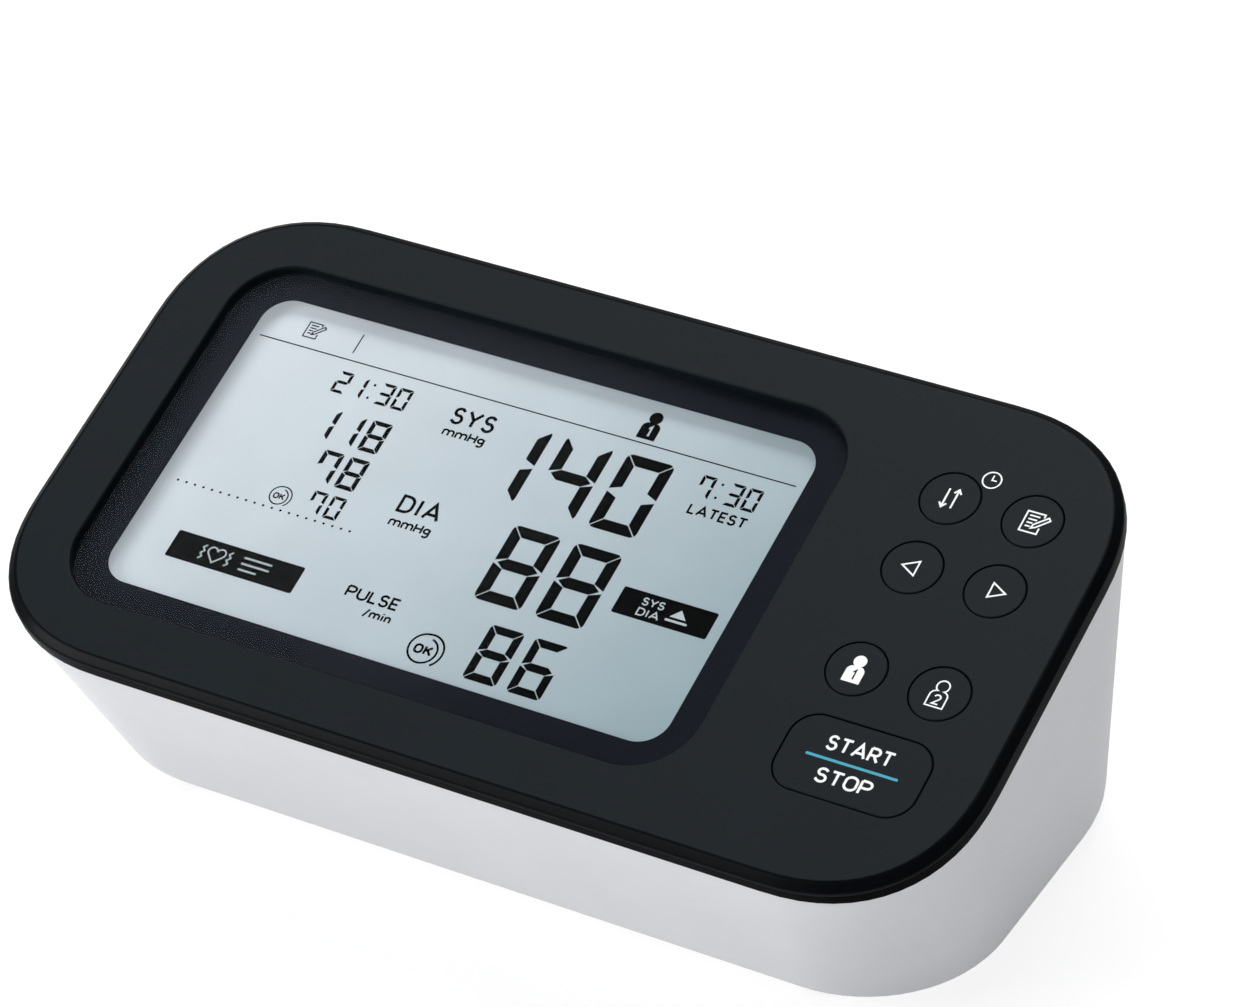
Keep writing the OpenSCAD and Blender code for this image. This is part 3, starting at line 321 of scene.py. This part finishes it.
def make_window_glass():
    """A clear window: what is behind shows, and its face reflects by the angle."""
    made = bpy.data.materials.new("window_acrylic")
    made.use_nodes = True
    nodes, link = made.node_tree.nodes, made.node_tree.links.new
    nodes.remove(nodes["Principled BSDF"])
    through = nodes.new("ShaderNodeBsdfTransparent")
    through.inputs["Color"].default_value = (0.985, 0.99, 0.99, 1)
    face = nodes.new("ShaderNodeBsdfGlossy")
    face.inputs["Color"].default_value = (0.9, 0.95, 1, 1)
    grain = nodes.new("ShaderNodeGroup")
    grain.node_tree = bpy.data.node_groups["mould_grain"]
    grain.inputs["Fineness"].default_value = 900.0
    gloss = nodes.new("ShaderNodeMapRange")
    gloss.inputs["To Min"].default_value = 0.09
    gloss.inputs["To Max"].default_value = 0.13
    link(grain.outputs["Mottle"], gloss.inputs["Value"])
    link(gloss.outputs["Result"], face.inputs["Roughness"])
    edge = nodes.new("ShaderNodeFresnel")
    edge.inputs["IOR"].default_value = 1.12
    side = nodes.new("ShaderNodeNewGeometry")
    # only the window's outer side reflects
    front = nodes.new("ShaderNodeMath")
    front.operation = "MULTIPLY_ADD"
    front.inputs[1].default_value = -1.0
    front.inputs[2].default_value = 1.0
    link(side.outputs["Backfacing"], front.inputs[0])
    outer = nodes.new("ShaderNodeMath")
    outer.operation = "MULTIPLY"
    link(edge.outputs[0], outer.inputs[0])
    link(front.outputs[0], outer.inputs[1])
    both = nodes.new("ShaderNodeMixShader")
    link(outer.outputs[0], both.inputs[0])
    link(through.outputs[0], both.inputs[1])
    link(face.outputs[0], both.inputs[2])
    link(both.outputs[0], nodes["Material Output"].inputs["Surface"])
    return made


make_mould_grain()
MATT_BLACK = (0.0046, 0.0085, 0.0115), (0.0064, 0.0108, 0.0142)
finish = {
    "panel": finish_of("panel_matt_black", *MATT_BLACK,
        (0.44, 0.5), 4200.0, 0.5, 0.012, Specular_IOR_Level=0.09),
    "keys": finish_of("key_matt_black", *MATT_BLACK,
        (0.44, 0.5), 4200.0, 0.45, 0.012, Specular_IOR_Level=0.09),
    # painted shade: a darker copy of the panel's black, for the bevel that turns away from the
    # light
    "bevel": finish_of("bevel_painted_shade", (0.0012, 0.002, 0.003), (0.002, 0.003, 0.0042),
        (0.3, 0.36), 1500.0, 0.05, 0.002, Specular_IOR_Level=0.06),
    "band": finish_of("band_gloss_black", (0.0006, 0.0006, 0.0009), (0.001, 0.001, 0.0014),
        (0.3, 0.38), 1500.0, 0.05, 0.002, Specular_IOR_Level=0.015),
    "shell": finish_of("shell_satin_white", (0.74, 0.745, 0.775), (0.78, 0.785, 0.81),
        (0.42, 0.5), 3600.0, 0.4, 0.01),
    "border": finish_of("border_print", (0.004, 0.0062, 0.0105), (0.0055, 0.008, 0.013),
        (0.5, 0.56), 2500.0, 0.05, 0.002, Specular_IOR_Level=0.04),
    "display": make_reflector_with_painted_light(),
    "ink": finish_of("display_segment_black", (0.0006, 0.001, 0.001), (0.0012, 0.0018, 0.0018),
        (0.5, 0.58), 3200.0, 0.1, 0.002, Specular_IOR_Level=0.02),
    "clear_ink": finish_of("display_clear_segment", (0.44, 0.5, 0.53), (0.52, 0.58, 0.61),
        (0.4, 0.46), 3200.0, 0.1, 0.002),
    "white_print": finish_of("key_print_white", (0.93, 0.95, 0.96), (0.98, 0.99, 1.0),
        (0.45, 0.52), 6000.0, 0.15, 0.002),
    "blue_print": finish_of("key_print_blue", (0.012, 0.34, 0.47), (0.018, 0.4, 0.54),
        (0.42, 0.5), 6000.0, 0.15, 0.002),
    "rubber": finish_of("foot_rubber", (0.1, 0.1, 0.105), (0.14, 0.14, 0.145),
        (0.68, 0.8), 1800.0, 0.6, 0.03),
    "foam": finish_of("sleeve_foam", (0.02, 0.024, 0.026), (0.05, 0.055, 0.058),
        (0.85, 0.95), 900.0, 0.9, 0.2),
    "steel": finish_of("plated_steel", (0.5, 0.5, 0.51), (0.62, 0.62, 0.63),
        (0.24, 0.38), 2500.0, 0.2, 0.004, Metallic=1.0),
    "black_part": finish_of("moulded_black", (0.012, 0.012, 0.013), (0.02, 0.02, 0.022),
        (0.4, 0.5), 2600.0, 0.3, 0.008),
    "grey_part": finish_of("moulded_grey", (0.07, 0.072, 0.076), (0.095, 0.098, 0.102),
        (0.42, 0.52), 2600.0, 0.3, 0.008),
    "pale_part": finish_of("moulded_pale", (0.6, 0.6, 0.57), (0.7, 0.7, 0.67),
        (0.45, 0.55), 2600.0, 0.3, 0.008),
    "board": finish_of("board_green", (0.008, 0.07, 0.03), (0.014, 0.1, 0.045),
        (0.28, 0.4), 1200.0, 0.3, 0.01),
    "silicone": finish_of("silicone_grey", (0.22, 0.25, 0.28), (0.28, 0.31, 0.34),
        (0.55, 0.65), 1500.0, 0.2, 0.01),
    "brass": finish_of("valve_brass", (0.45, 0.33, 0.12), (0.6, 0.46, 0.2),
        (0.25, 0.4), 2500.0, 0.2, 0.004, Metallic=1.0),
    "sleeve_blue": finish_of("cell_sleeve", (0.02, 0.07, 0.16), (0.03, 0.1, 0.21),
        (0.2, 0.3), 1500.0, 0.1, 0.004, Coat_Weight=0.4),
    "window": make_window_glass(),
}


# ---------- the case ----------

def on_outline(p):
    """True near the panel's outline, outside its recess and its key holes."""
    return abs(p.x) > OUTLINE_X or abs(p.y) > OUTLINE_Y


def on_bevel_foot(p):
    """True where the bevel round the panel ends."""
    return on_outline(p) and abs(p.z - BEVEL_FOOT) < FACE_REACH


def on_bevel_top(p):
    """True where the bevel round the panel meets its face."""
    return on_outline(p) and abs(p.z) < FACE_REACH


def on_recess(p):
    """True at the edge of the window's recess in the panel's face."""
    beside = abs(p.x - WINDOW_X) < WINDOW_W / 2 + 1
    return abs(p.z) < FACE_REACH and not on_outline(p) and beside


def on_key_hole(p):
    """True at the edge of a key's hole in the panel's face."""
    return abs(p.z) < FACE_REACH and not on_outline(p) and p.x > KEY_HOLES_X


def make_cover():
    """The matt panel with its rounded outline, recess and key holes."""
    cover = moulding("front_cover", "panel_cover")
    for chosen, width, segments in (
        (on_bevel_foot, 0.5, 4),
        (on_bevel_top, 0.45, 4),
        (on_recess, 0.4, 3),
        (on_key_hole, 0.1, 2),
    ):
        round_edges(cover, chosen, width, segments)
    smooth(cover)
    hand_over(cover, "root", finish["panel"], ["front_cover"])
    # the bevel round the panel is slightly glossier, and is painted darker than the face: painted
    # shade where it turns down from the light
    cover.data.materials.append(finish["bevel"])
    back = PANEL.inverted()
    for face in cover.data.polygons:
        middle = (back @ face.center) / MM
        tilted = (back.to_3x3() @ face.normal).z < LEVEL_FACE
        if on_outline(middle) and BEVEL_FOOT - 0.1 < middle.z < -0.001 and tilted:
            face.material_index = 1


def make_band():
    """The gloss band under the panel."""
    band = moulding("rim_trim", "gloss_band")
    round_edges(band, on_outline, 0.25, 3)
    smooth(band)
    hand_over(band, "root", finish["band"], ["rim_trim"])


def make_shell():
    """The white tub."""
    shell = moulding("body_shell", "white_tub")
    smooth(shell, angle=36)
    hand_over(shell, "root", finish["shell"], ["body_shell"])


def make_keys():
    """The seven keys."""
    for key in [*KEYS, "start_stop"]:
        cap = moulding(key + "_button", key + "_cap")
        smooth(cap)
        hand_over(cap, key + "_key", finish["keys"], [key + "_button"])


def make_battery_cover():
    """The cover under the body."""
    lid = moulding("battery_cover", "battery_lid_cover")
    smooth(lid)
    hand_over(lid, "battery_lid", finish["shell"], ["battery_cover"])


# ---------- flat shapes ----------

def cut_out(name, loops, low, high):
    """A thin flat piece between two heights above the panel, from closed outlines in mm."""
    drawn = bpy.data.curves.new(name, "CURVE")
    drawn.dimensions = "2D"
    drawn.fill_mode = "BOTH"
    drawn.extrude = (high - low) / 2
    for loop in loops:
        spline = drawn.splines.new("POLY")
        spline.points.add(len(loop) - 1)
        for point, (x, y) in zip(spline.points, loop):
            point.co = (x, y, 0, 1)
        spline.use_cyclic_u = True
    piece = bpy.data.objects.new(name, drawn)
    bpy.context.scene.collection.objects.link(piece)
    take(piece)
    bpy.ops.object.convert(target="MESH")
    middle = Matrix.Translation((0, 0, (low + high) / 2 * MM))
    return settle(bpy.context.object, PANEL @ middle @ Matrix.Scale(MM, 4))


def film(name, loops, low, high, finish_name, body="root"):
    """One flat film from its outlines."""
    return hand_over(cut_out(name, loops, low, high), body, finish[finish_name])


def strokes(name, paths, weight, low, high, finish_name, body="root"):
    """Lines of even width; each stands a hair above the last, so that none share a face."""
    pieces = []
    for i, path in enumerate(paths):
        pieces.append(cut_out(name, line_of(path, weight), low, high + STROKE_STEP * i))
    take(pieces[0])
    for piece in pieces[1:]:
        piece.select_set(True)
    bpy.ops.object.join()
    return hand_over(pieces[0], body, finish[finish_name])


def arc(x, y, r, start, end, steps):
    """Points along part of a circle, between two angles in degrees."""
    turns = [math.radians(start + (end - start) * i / steps) for i in range(steps + 1)]
    return [(x + r * math.cos(turn), y + r * math.sin(turn)) for turn in turns]


def ring(x, y, r, steps):
    """A closed circle."""
    return arc(x, y, r, 0, 360, steps)[:-1]


def soft_bar(x, y, w, d, r, steps=8):
    """A rectangle with round corners, about its centre."""
    loop = []
    for cx, cy, turn in ((1, 1, 0), (-1, 1, 90), (-1, -1, 180), (1, -1, 270)):
        loop += arc(x + cx * (w / 2 - r), y + cy * (d / 2 - r), r, turn, turn + 90, steps)
    return loop


def line_of(path, weight):
    """The outline of a line of even width; a path that ends where it starts is closed."""
    closed = math.dist(path[0], path[-1]) < 1e-6
    points = [Vector(p) for p in (path[:-1] if closed else path)]
    count = len(points)
    left, right = [], []
    for i, here in enumerate(points):
        before = here - points[i - 1] if closed or i > 0 else points[1] - here
        after = points[(i + 1) % count] - here if closed or i < count - 1 else before
        across = (before.normalized() + after.normalized()).normalized().orthogonal()
        reach = weight / 2 / max(0.4, across.dot(before.normalized().orthogonal()))
        left.append(tuple(here + across * reach))
        right.append(tuple(here - across * reach))
    return [left, right[::-1]] if closed else [left + right[::-1]]


def placed(paths, x, y, wide, tall):
    """Paths drawn in a unit square, put in a box whose lower left corner is (x, y)."""
    return [[(x + px * wide, y + py * tall) for px, py in path] for path in paths]


# ---------- plain letters and numbers ----------

# Each letter: its width and its strokes, where a capital is one unit high
LETTERS = {
    "A": (0.8, [[(0, 0), (0.4, 1), (0.8, 0)], [(0.14, 0.3), (0.66, 0.3)]]),
    "D": (0.66, [[(0, 0), (0, 1), *arc(0.3, 0.64, 0.36, 90, 0, 6),
                  *arc(0.3, 0.36, 0.36, 0, -90, 6), (0, 0)]]),
    "E": (0.52, [[(0.52, 1), (0, 1), (0, 0), (0.52, 0)], [(0, 0.5), (0.46, 0.5)]]),
    "H": (0.66, [[(0, 0), (0, 1)], [(0.66, 0), (0.66, 1)], [(0, 0.5), (0.66, 0.5)]]),
    "I": (0.24, [[(0.12, 0), (0.12, 1)]]),
    "K": (0.64, [[(0, 0), (0, 1)], [(0.6, 1), (0, 0.4)], [(0.22, 0.6), (0.64, 0)]]),
    "L": (0.5, [[(0, 1), (0, 0), (0.5, 0)]]),
    "O": (0.66, [[*arc(0.33, 0.67, 0.33, 0, 180, 10), *arc(0.33, 0.33, 0.33, 180, 360, 10),
                  (0.66, 0.67)]]),
    "P": (0.6, [[(0, 0), (0, 1)], [(0, 1), *arc(0.33, 0.73, 0.27, 90, -90, 10), (0, 0.46)]]),
    "R": (0.62, [[(0, 0), (0, 1)], [(0, 1), *arc(0.33, 0.73, 0.27, 90, -90, 10), (0, 0.46)],
                 [(0.3, 0.46), (0.62, 0)]]),
    "S": (0.6, [[(0.54, 0.86), *arc(0.3, 0.75, 0.25, 40, 250, 12),
                 *arc(0.31, 0.26, 0.27, 80, -140, 12), (0.02, 0.16)]]),
    "T": (0.64, [[(0, 1), (0.64, 1)], [(0.32, 1), (0.32, 0)]]),
    "U": (0.66, [[(0, 1), *arc(0.33, 0.33, 0.33, 180, 360, 12), (0.66, 1)]]),
    "Y": (0.74, [[(0, 1), (0.37, 0.46), (0.74, 1)], [(0.37, 0.46), (0.37, 0)]]),
    "g": (0.52, [ring(0.26, 0.44, 0.27, 18) + [(0.53, 0.44)],
                 [(0.53, 0.72), *arc(0.26, -0.04, 0.27, 0, -140, 8)]]),
    "i": (0.12, [[(0.06, 0), (0.06, 0.72)], [(0.06, 0.9), (0.06, 1.04)]]),
    "m": (1.0, [[(0, 0), (0, 0.72)], [(0, 0.44), *arc(0.25, 0.46, 0.25, 180, 0, 8), (0.5, 0)],
                [(0.5, 0.44), *arc(0.75, 0.46, 0.25, 180, 0, 8), (1.0, 0)]]),
    "n": (0.5, [[(0, 0), (0, 0.72)], [(0, 0.44), *arc(0.25, 0.46, 0.25, 180, 0, 8), (0.5, 0)]]),
    "/": (0.42, [[(0, -0.1), (0.42, 1.06)]]),
    "2": (0.56, [[*arc(0.28, 0.72, 0.28, 165, -35, 10), (0, 0), (0.56, 0)]]),
}

# The bars that each number shows, lettered from the top bar clockwise, with g in the middle
BARS = {
    "0": "abcdef", "1": "bc", "2": "abged", "3": "abgcd",
    "4": "fgbc", "6": "afgedc", "7": "abcf", "8": "abcdefg",
}


def written(word, left, right, base, cap, weight):
    """The strokes of a plain word between two sides, with its capitals' height."""
    gap = weight + 0.08 * cap
    room = right - left - weight - gap * (len(word) - 1)
    wide = room / sum(LETTERS[mark][0] for mark in word)
    paths, x = [], left + weight / 2
    for mark in word:
        width, shapes = LETTERS[mark]
        paths += placed(shapes, x, base + weight / 2, wide, cap - weight)
        x += width * wide + gap
    return paths


def digit(number, x, y, w, h, t, gap):
    """The bars of one digit, w wide and h high, from its lower left corner."""
    r = 0.55 * t                # the digit's round outer corners
    slip = 0.7 * gap            # half the slanting gap between two bars, along a bar
    lean = math.degrees(gap / 2 / r)
    waist = h / 2
    corner = (w - r, h - r, r)
    top = [*arc(*corner, 90, 45 + lean, 3), (w - t - slip, h - t),
           (t + slip, h - t), *arc(r, h - r, r, 135 - lean, 90, 3)]
    side = [*arc(*corner, 45 - lean, 0, 3), (w, waist + 0.13 * t),
            (w - t, waist + t / 2 + gap / 2), (w - t, h - t - slip)]
    middle = [(0.3 * t, waist), (t, waist + t / 2), (w - t, waist + t / 2),
              (w - 0.3 * t, waist), (w - t, waist - t / 2), (t, waist - t / 2)]
    shapes = {
        "a": top,
        "b": side,
        "c": [(px, h - py) for px, py in side],
        "d": [(px, h - py) for px, py in top],
        "e": [(w - px, h - py) for px, py in side],
        "f": [(w - px, py) for px, py in side],
        "g": middle,
    }
    return [[(x + px, y + py) for px, py in shapes[mark]] for mark in BARS[number]]


# ---------- signs ----------

def person(x, y, h):
    """A head and shoulders, h high, from the middle of their foot."""
    half, head = 0.305 * h, 0.215 * h
    shoulder = arc(x + 0.105 * h, y + 0.4 * h, 0.2 * h, 0, 90, 6)
    crown = arc(x, y + h - head, head, -59, 239, 20)
    mirrored = [(2 * x - px, py) for px, py in reversed(shoulder)]
    return [(x - half, y), (x + half, y), *shoulder, *crown, *mirrored, (x - half, y)]


def figure_one(x, y, wide, tall, weight):
    """The outline of a plain number one, from the lower left of its place."""
    return line_of([(x, y + 0.72 * tall), (x + wide, y + tall), (x + wide, y)], weight)


def notepad(x, y, w, h):
    """A written sheet with a pencil."""
    page = [[(0.72, 0.3), (0.72, 0), (0, 0), (0, 1), (0.72, 1), (0.72, 0.84)]]
    lines = [[(0.14, level), (end, level)]
             for level, end in ((0.82, 0.56), (0.64, 0.5), (0.46, 0.38), (0.28, 0.34))]
    pencil = [[(0.4, 0.22), (0.44, 0.42), (0.9, 0.9), (1, 0.78), (0.56, 0.3), (0.4, 0.22)]]
    return placed(page + lines + pencil, x, y, w, h)


def wrap_mark(x, y, r):
    """A ring that winds out past its own start, like a cuff round an arm."""
    turns = ((0, -0.13, 0.86, 77, -90), (0, 0, 1, -90, -270), (0.12, -0.1, 1.12, 90, -50))
    return [[p for dx, dy, k, a, b in turns for p in arc(x + dx * r, y + dy * r, k * r, a, b, 16)]]


def heart(x, y, w):
    """A heart's outline about its centre."""
    lobe = arc(x + 0.25 * w, y + 0.17 * w, 0.255 * w, -35, 165, 12)
    foot = (x, y - 0.46 * w)
    return [foot, *lobe, *[(2 * x - px, py) for px, py in reversed(lobe)], foot]


# ---------- the display ----------

def seen(px, py):
    """A place on the display's face, from the grid that its layout was measured on."""
    return (GRID_LEFT + px / GRID, GRID_TOP - py / GRID)


def numbers(text, rights, top, bottom, width, weight):
    """Digits whose right sides stand at the given places, all measured on the grid."""
    wide, tall, thick = width / GRID, (bottom - top) / GRID, weight / GRID
    gap = 0.08 + 0.055 * thick
    loops = []
    for mark, right in zip(text, rights):
        loops += digit(mark, *seen(right - width, bottom), wide, tall, thick, gap)
    return loops


def label(name, word, box, weight, low, high, finish_name):
    """A word on the display, in a box measured on the grid: left, right, top and base."""
    left, right, top, base = box
    (x1, y), x2 = seen(left, base), seen(right, base)[0]
    letters = written(word, x1, x2, y, (base - top) / GRID, weight)
    strokes("display_" + name, letters, weight, low, high, finish_name)


def ok_mark(size, x, y, r, weight, low, high):
    """The word OK in a ring that winds out past its own start."""
    strokes(f"display_{size}_ring", wrap_mark(x, y, r), weight, low, high, "ink")
    # the word stands a hair left of the ring's middle
    middle, half, cap = x - 0.05, 0.62 * r, 0.68 * r
    base, thick = y - 0.36 * r - 0.1 * cap, 1.15 * weight
    letters = written("OK", middle - half, middle + half, base, cap, thick)
    strokes(f"display_{size}_ok", letters, thick, low, high, "ink")


def field(left, right, top, bottom):
    """A black field with soft corners."""
    x, y = seen((left + right) / 2, (top + bottom) / 2)
    return [soft_bar(x, y, (right - left) / GRID, (bottom - top) / GRID, 0.36)]


def make_display():
    """The segments and signs of the display, as thin films on its face."""
    low, high = DISPLAY_FACE, DISPLAY_FACE + FILM
    over = high + CLEAR_FILM
    large = numbers("140", (727.5, 862.5, 997.5), 142.5, 321.5, 104, 24.5)
    large += numbers("88", (862.5, 997.5), 363.5, 541.5, 104, 24.5)
    large += numbers("86", (900, 996.5), 584, 711, 73.5, 17.5)
    film("display_large_digits", large, low, high, "ink")
    small = numbers("2130", (268.5, 305.5, 368.5, 407.5), 141.5, 193.5, 31, 6.8)
    small += numbers("118", (291.5, 348.5, 407.5), 229, 303.5, 45, 9.8)
    small += numbers("78", (348.5, 407.5), 322.5, 398, 45, 9.8)
    small += numbers("70", (365, 407.5), 416.5, 470, 31.5, 6.8)
    small += numbers("730", (1090, 1153, 1191), 142.5, 195, 30, 6.6)
    colons = [(px, py) for px in (321.5, 1105) for py in (153, 185)]
    small += [ring(*seen(*place), 0.27, 10) for place in colons]
    dots = [(48.5 + 20 * i, 482) for i in range(21)]
    small += [ring(*seen(*place), 0.25, 8) for place in dots]
    film("display_small_digits", small, low, high, "ink")
    rules = [[seen(26.5, 113.5), seen(1243, 112.5)], [seen(237, 96), seen(237, 48)]]
    strokes("display_rules", rules, 0.24, low, high, "ink")
    x, y = seen(114, 89)
    strokes("display_notepad", notepad(x, y, 3.7, 3.3), 0.24, low, high, "ink")
    x, y = seen(907, 103)
    one = figure_one(x - 0.2, y + 0.7, 0.42, 2.1, 0.4)
    film("display_user", [person(x, y, 5.95)[:-1], *one], low, high, "ink")
    ok_mark("small", *seen(269, 450.5), 21.2 / GRID, 0.25, low, high)
    ok_mark("large", *seen(726, 676.5), 33 / GRID, 0.4, low, high)
    for name, word, box, weight in (
        ("sys", "SYS", (508, 607, 147, 188), 0.6),
        ("dia", "DIA", (511, 606, 368.5, 410.5), 0.6),
        ("pulse", "PULSE", (511, 630.5, 591.5, 619.5), 0.45),
        ("latest", "LATEST", (1065.5, 1191.5, 210, 234.5), 0.4),
        ("sys_unit", "mmHg", (509, 604, 197, 219), 0.38),
        ("dia_unit", "mmHg", (511.5, 605, 422, 444.5), 0.38),
        ("pulse_unit", "/min", (569, 631, 630, 650), 0.38),
    ):
        label(name, word, box, weight, low, high, "ink")

    # two black fields, with clear signs over them
    film("display_heart_field", field(115.5, 407.5, 586.5, 649.5), low, high, "ink")
    x, y = seen(217, 618)
    waves = []
    for side in (-1, 1):
        waves.append([(x + side * 2.75 + 0.3 * (-1) ** i, y + 1.55 - 0.62 * i) for i in range(6)])
    strokes("display_heart", [heart(x, y, 3.5), *waves], 0.28, high, over, "clear_ink")
    ends = ((604, 340), (618, 340), (632, 318))
    lines = [[seen(277, py), seen(right, py)] for py, right in ends]
    strokes("display_heart_lines", lines, 0.36, high, over, "clear_ink")
    film("display_level_field", field(1032, 1235.5, 423.5, 484.5), low, high, "ink")
    mark = [[seen(1146.5, 459), seen(1181, 459), seen(1163.8, 439.5)],
            soft_bar(*seen(1163.8, 467), 4.3, 0.45, 0.2, 4)]
    film("display_level_mark", mark, high, over, "clear_ink")
    label("level_sys", "SYS", (1080, 1128.5, 434, 452), 0.26, high, over, "clear_ink")
    label("level_dia", "DIA", (1080, 1128.5, 458, 476), 0.26, high, over, "clear_ink")


def make_border():
    """The dark border printed on the back of the window."""
    w, d, r = WINDOW_W - 2 * BORDER_EDGE, WINDOW_D - 2 * BORDER_EDGE, WINDOW_R - BORDER_EDGE
    loops = [soft_bar(WINDOW_X, 0, w, d, r, 12), soft_bar(*OPENING, 12)]
    low = WINDOW_BACK + 0.01
    film("window_border_print", loops, low, low + FILM, "border")


# ---------- signs on the keys ----------

def make_key_signs():
    """Generic signs printed on the keys, and the clock between two of them."""
    low, high, white = KEY_PRINT_FOOT, FILM, "white_print"
    x, y = KEYS["sync"]
    arrows = []
    for side in (-1, 1):
        middle = x + side * 0.85
        arrows.append([(middle, y - side * 1.9), (middle, y + side * 1.9)])
        arrows.append([(middle - 0.65, y + side * 1.2), (middle, y + side * 2.05),
                       (middle + 0.65, y + side * 1.2)])
    strokes("sync_sign", arrows, 0.34, low, high, white, "sync_key")
    x, y = KEYS["memory"]
    page = notepad(x - 1.6, y - 2.25, 4.5, 4.1)
    strokes("memory_sign", page, 0.3, low, high, white, "memory_key")
    for key, side in (("back", -1), ("forward", 1)):
        x, y = KEYS[key]
        x += side * 0.55
        tip, tail = x + side * 1.35, x - side * 1.4
        arrow = [(tail, y - 1.5), (tip, y), (tail, y + 1.5), (tail, y - 1.5)]
        strokes(key + "_sign", [arrow], 0.3, low, high, white, key + "_key")
    x, y = KEYS["user_1"]
    foot = y - USER_FOOT
    one = figure_one(x - 0.2, foot + 0.65, 0.4, 1.9, 0.32)
    film("user_1_sign", [person(x, foot, 5.5)[:-1], *one], low, high, white, "user_1_key")
    x, y = KEYS["user_2"]
    foot = y - USER_FOOT
    two = written("2", x - 0.7, x + 0.7, foot + 0.55, 2.1, 0.3)
    figure = [person(x, foot + 0.13, 5.25), *two]
    strokes("user_2_sign", figure, 0.27, low, high, white, "user_2_key")
    x, y = CLOCK
    rim, hands = ring(x, y, 1.65, 32) + [(x + 1.65, y)], [(x, y + 1.0), (x, y), (x + 0.85, y)]
    strokes("clock_sign", [rim, hands], 0.27, low, high, white)
    cap, weight = 2.95, 0.46
    for word, left, right, base in (("START", 65.4, 77.7, -24.2), ("STOP", 66.3, 76.7, -30.5)):
        letters = written(word, left, right, base, cap, weight)
        strokes(word.lower() + "_word", letters, weight, low, high, white, "start_stop_key")
    line = soft_bar(START[0], START[1] - 0.2, 17.1, 0.5, 0.24, 4)
    film("start_line", [line], low, high, "blue_print", "start_stop_key")


def dress_inside():
    """Finishes on the CAD nodes that stay as they are."""
    for finish_name, names in (
        ("window", ("display_window",)),
        ("display", ("lcd_glass",)),
        ("pale_part", ("lcd_frame", "air_manifold", "pressure_sensor")),
        ("black_part", ("window_gasket", "zebra_strips", "processor", "buzzer", "pump_head",
                        "dc_jack")),
        ("grey_part", ("air_jack",)),
        ("board", ("main_board",)),
        ("silicone", ("keypad_mat", "air_tubes")),
        ("sleeve_blue", ("capacitors", "battery_cells")),
        ("steel", ("wireless_module", "pump_motor", "battery_springs", "battery_plates",
                   "case_screws", "board_screws", "dc_pin")),
        ("foam", ("pump_sleeve",)),
        ("brass", ("release_valve",)),
        ("rubber", ("rubber_feet",)),
    ):
        for name in names:
            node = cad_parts[name]
            node.data.materials.clear()
            node.data.materials.append(finish[finish_name])


# ---------- stage ----------

def set_stage():
    """A pale floor and plain soft light."""
    bpy.ops.object.select_all(action="DESELECT")
    bpy.ops.mesh.primitive_plane_add(size=8, location=(0, 0, -0.05 * MM))
    floor = bpy.context.object
    floor.name = "floor"
    floor.data.materials.append(make_floor_finish())
    world = bpy.context.scene.world or bpy.data.worlds.new("studio")
    bpy.context.scene.world = world
    world.use_nodes = True
    nodes, link = world.node_tree.nodes, world.node_tree.links.new
    sky = nodes["Background"]
    sky.inputs["Color"].default_value = (0.96, 0.98, 1.0, 1)
    sky.inputs["Strength"].default_value = 0.2
    backdrop = nodes.new("ShaderNodeBackground")
    backdrop.inputs["Color"].default_value = (1, 1, 1, 1)
    backdrop.inputs["Strength"].default_value = 1.0
    path = nodes.new("ShaderNodeLightPath")
    both = nodes.new("ShaderNodeMixShader")
    link(path.outputs["Is Camera Ray"], both.inputs[0])
    link(sky.outputs[0], both.inputs[1])
    link(backdrop.outputs[0], both.inputs[2])
    link(both.outputs[0], nodes["World Output"].inputs["Surface"])
    lit_point = Vector((0, 0, 0.04))
    for name, place, size, power in (
        ("overhead_softbox", (-0.15, 0.62, 1.35), 0.9, 14.5),
        ("front_left_softbox", (-1.1, -1.05, 0.75), 0.9, 16.5),
        ("back_left_softbox", (-0.95, 0.3, 1.2), 0.7, 3.4),
    ):
        aim = (lit_point - Vector(place)).to_track_quat("-Z", "Y")
        bpy.ops.object.light_add(type="AREA", location=place, rotation=aim.to_euler())
        lamp = bpy.context.object
        lamp.name = name
        lamp.data.size = size
        lamp.data.energy = power


make_cover()
make_band()
make_shell()
make_keys()
make_battery_cover()
make_border()
make_display()
make_key_signs()
dress_inside()
set_stage()
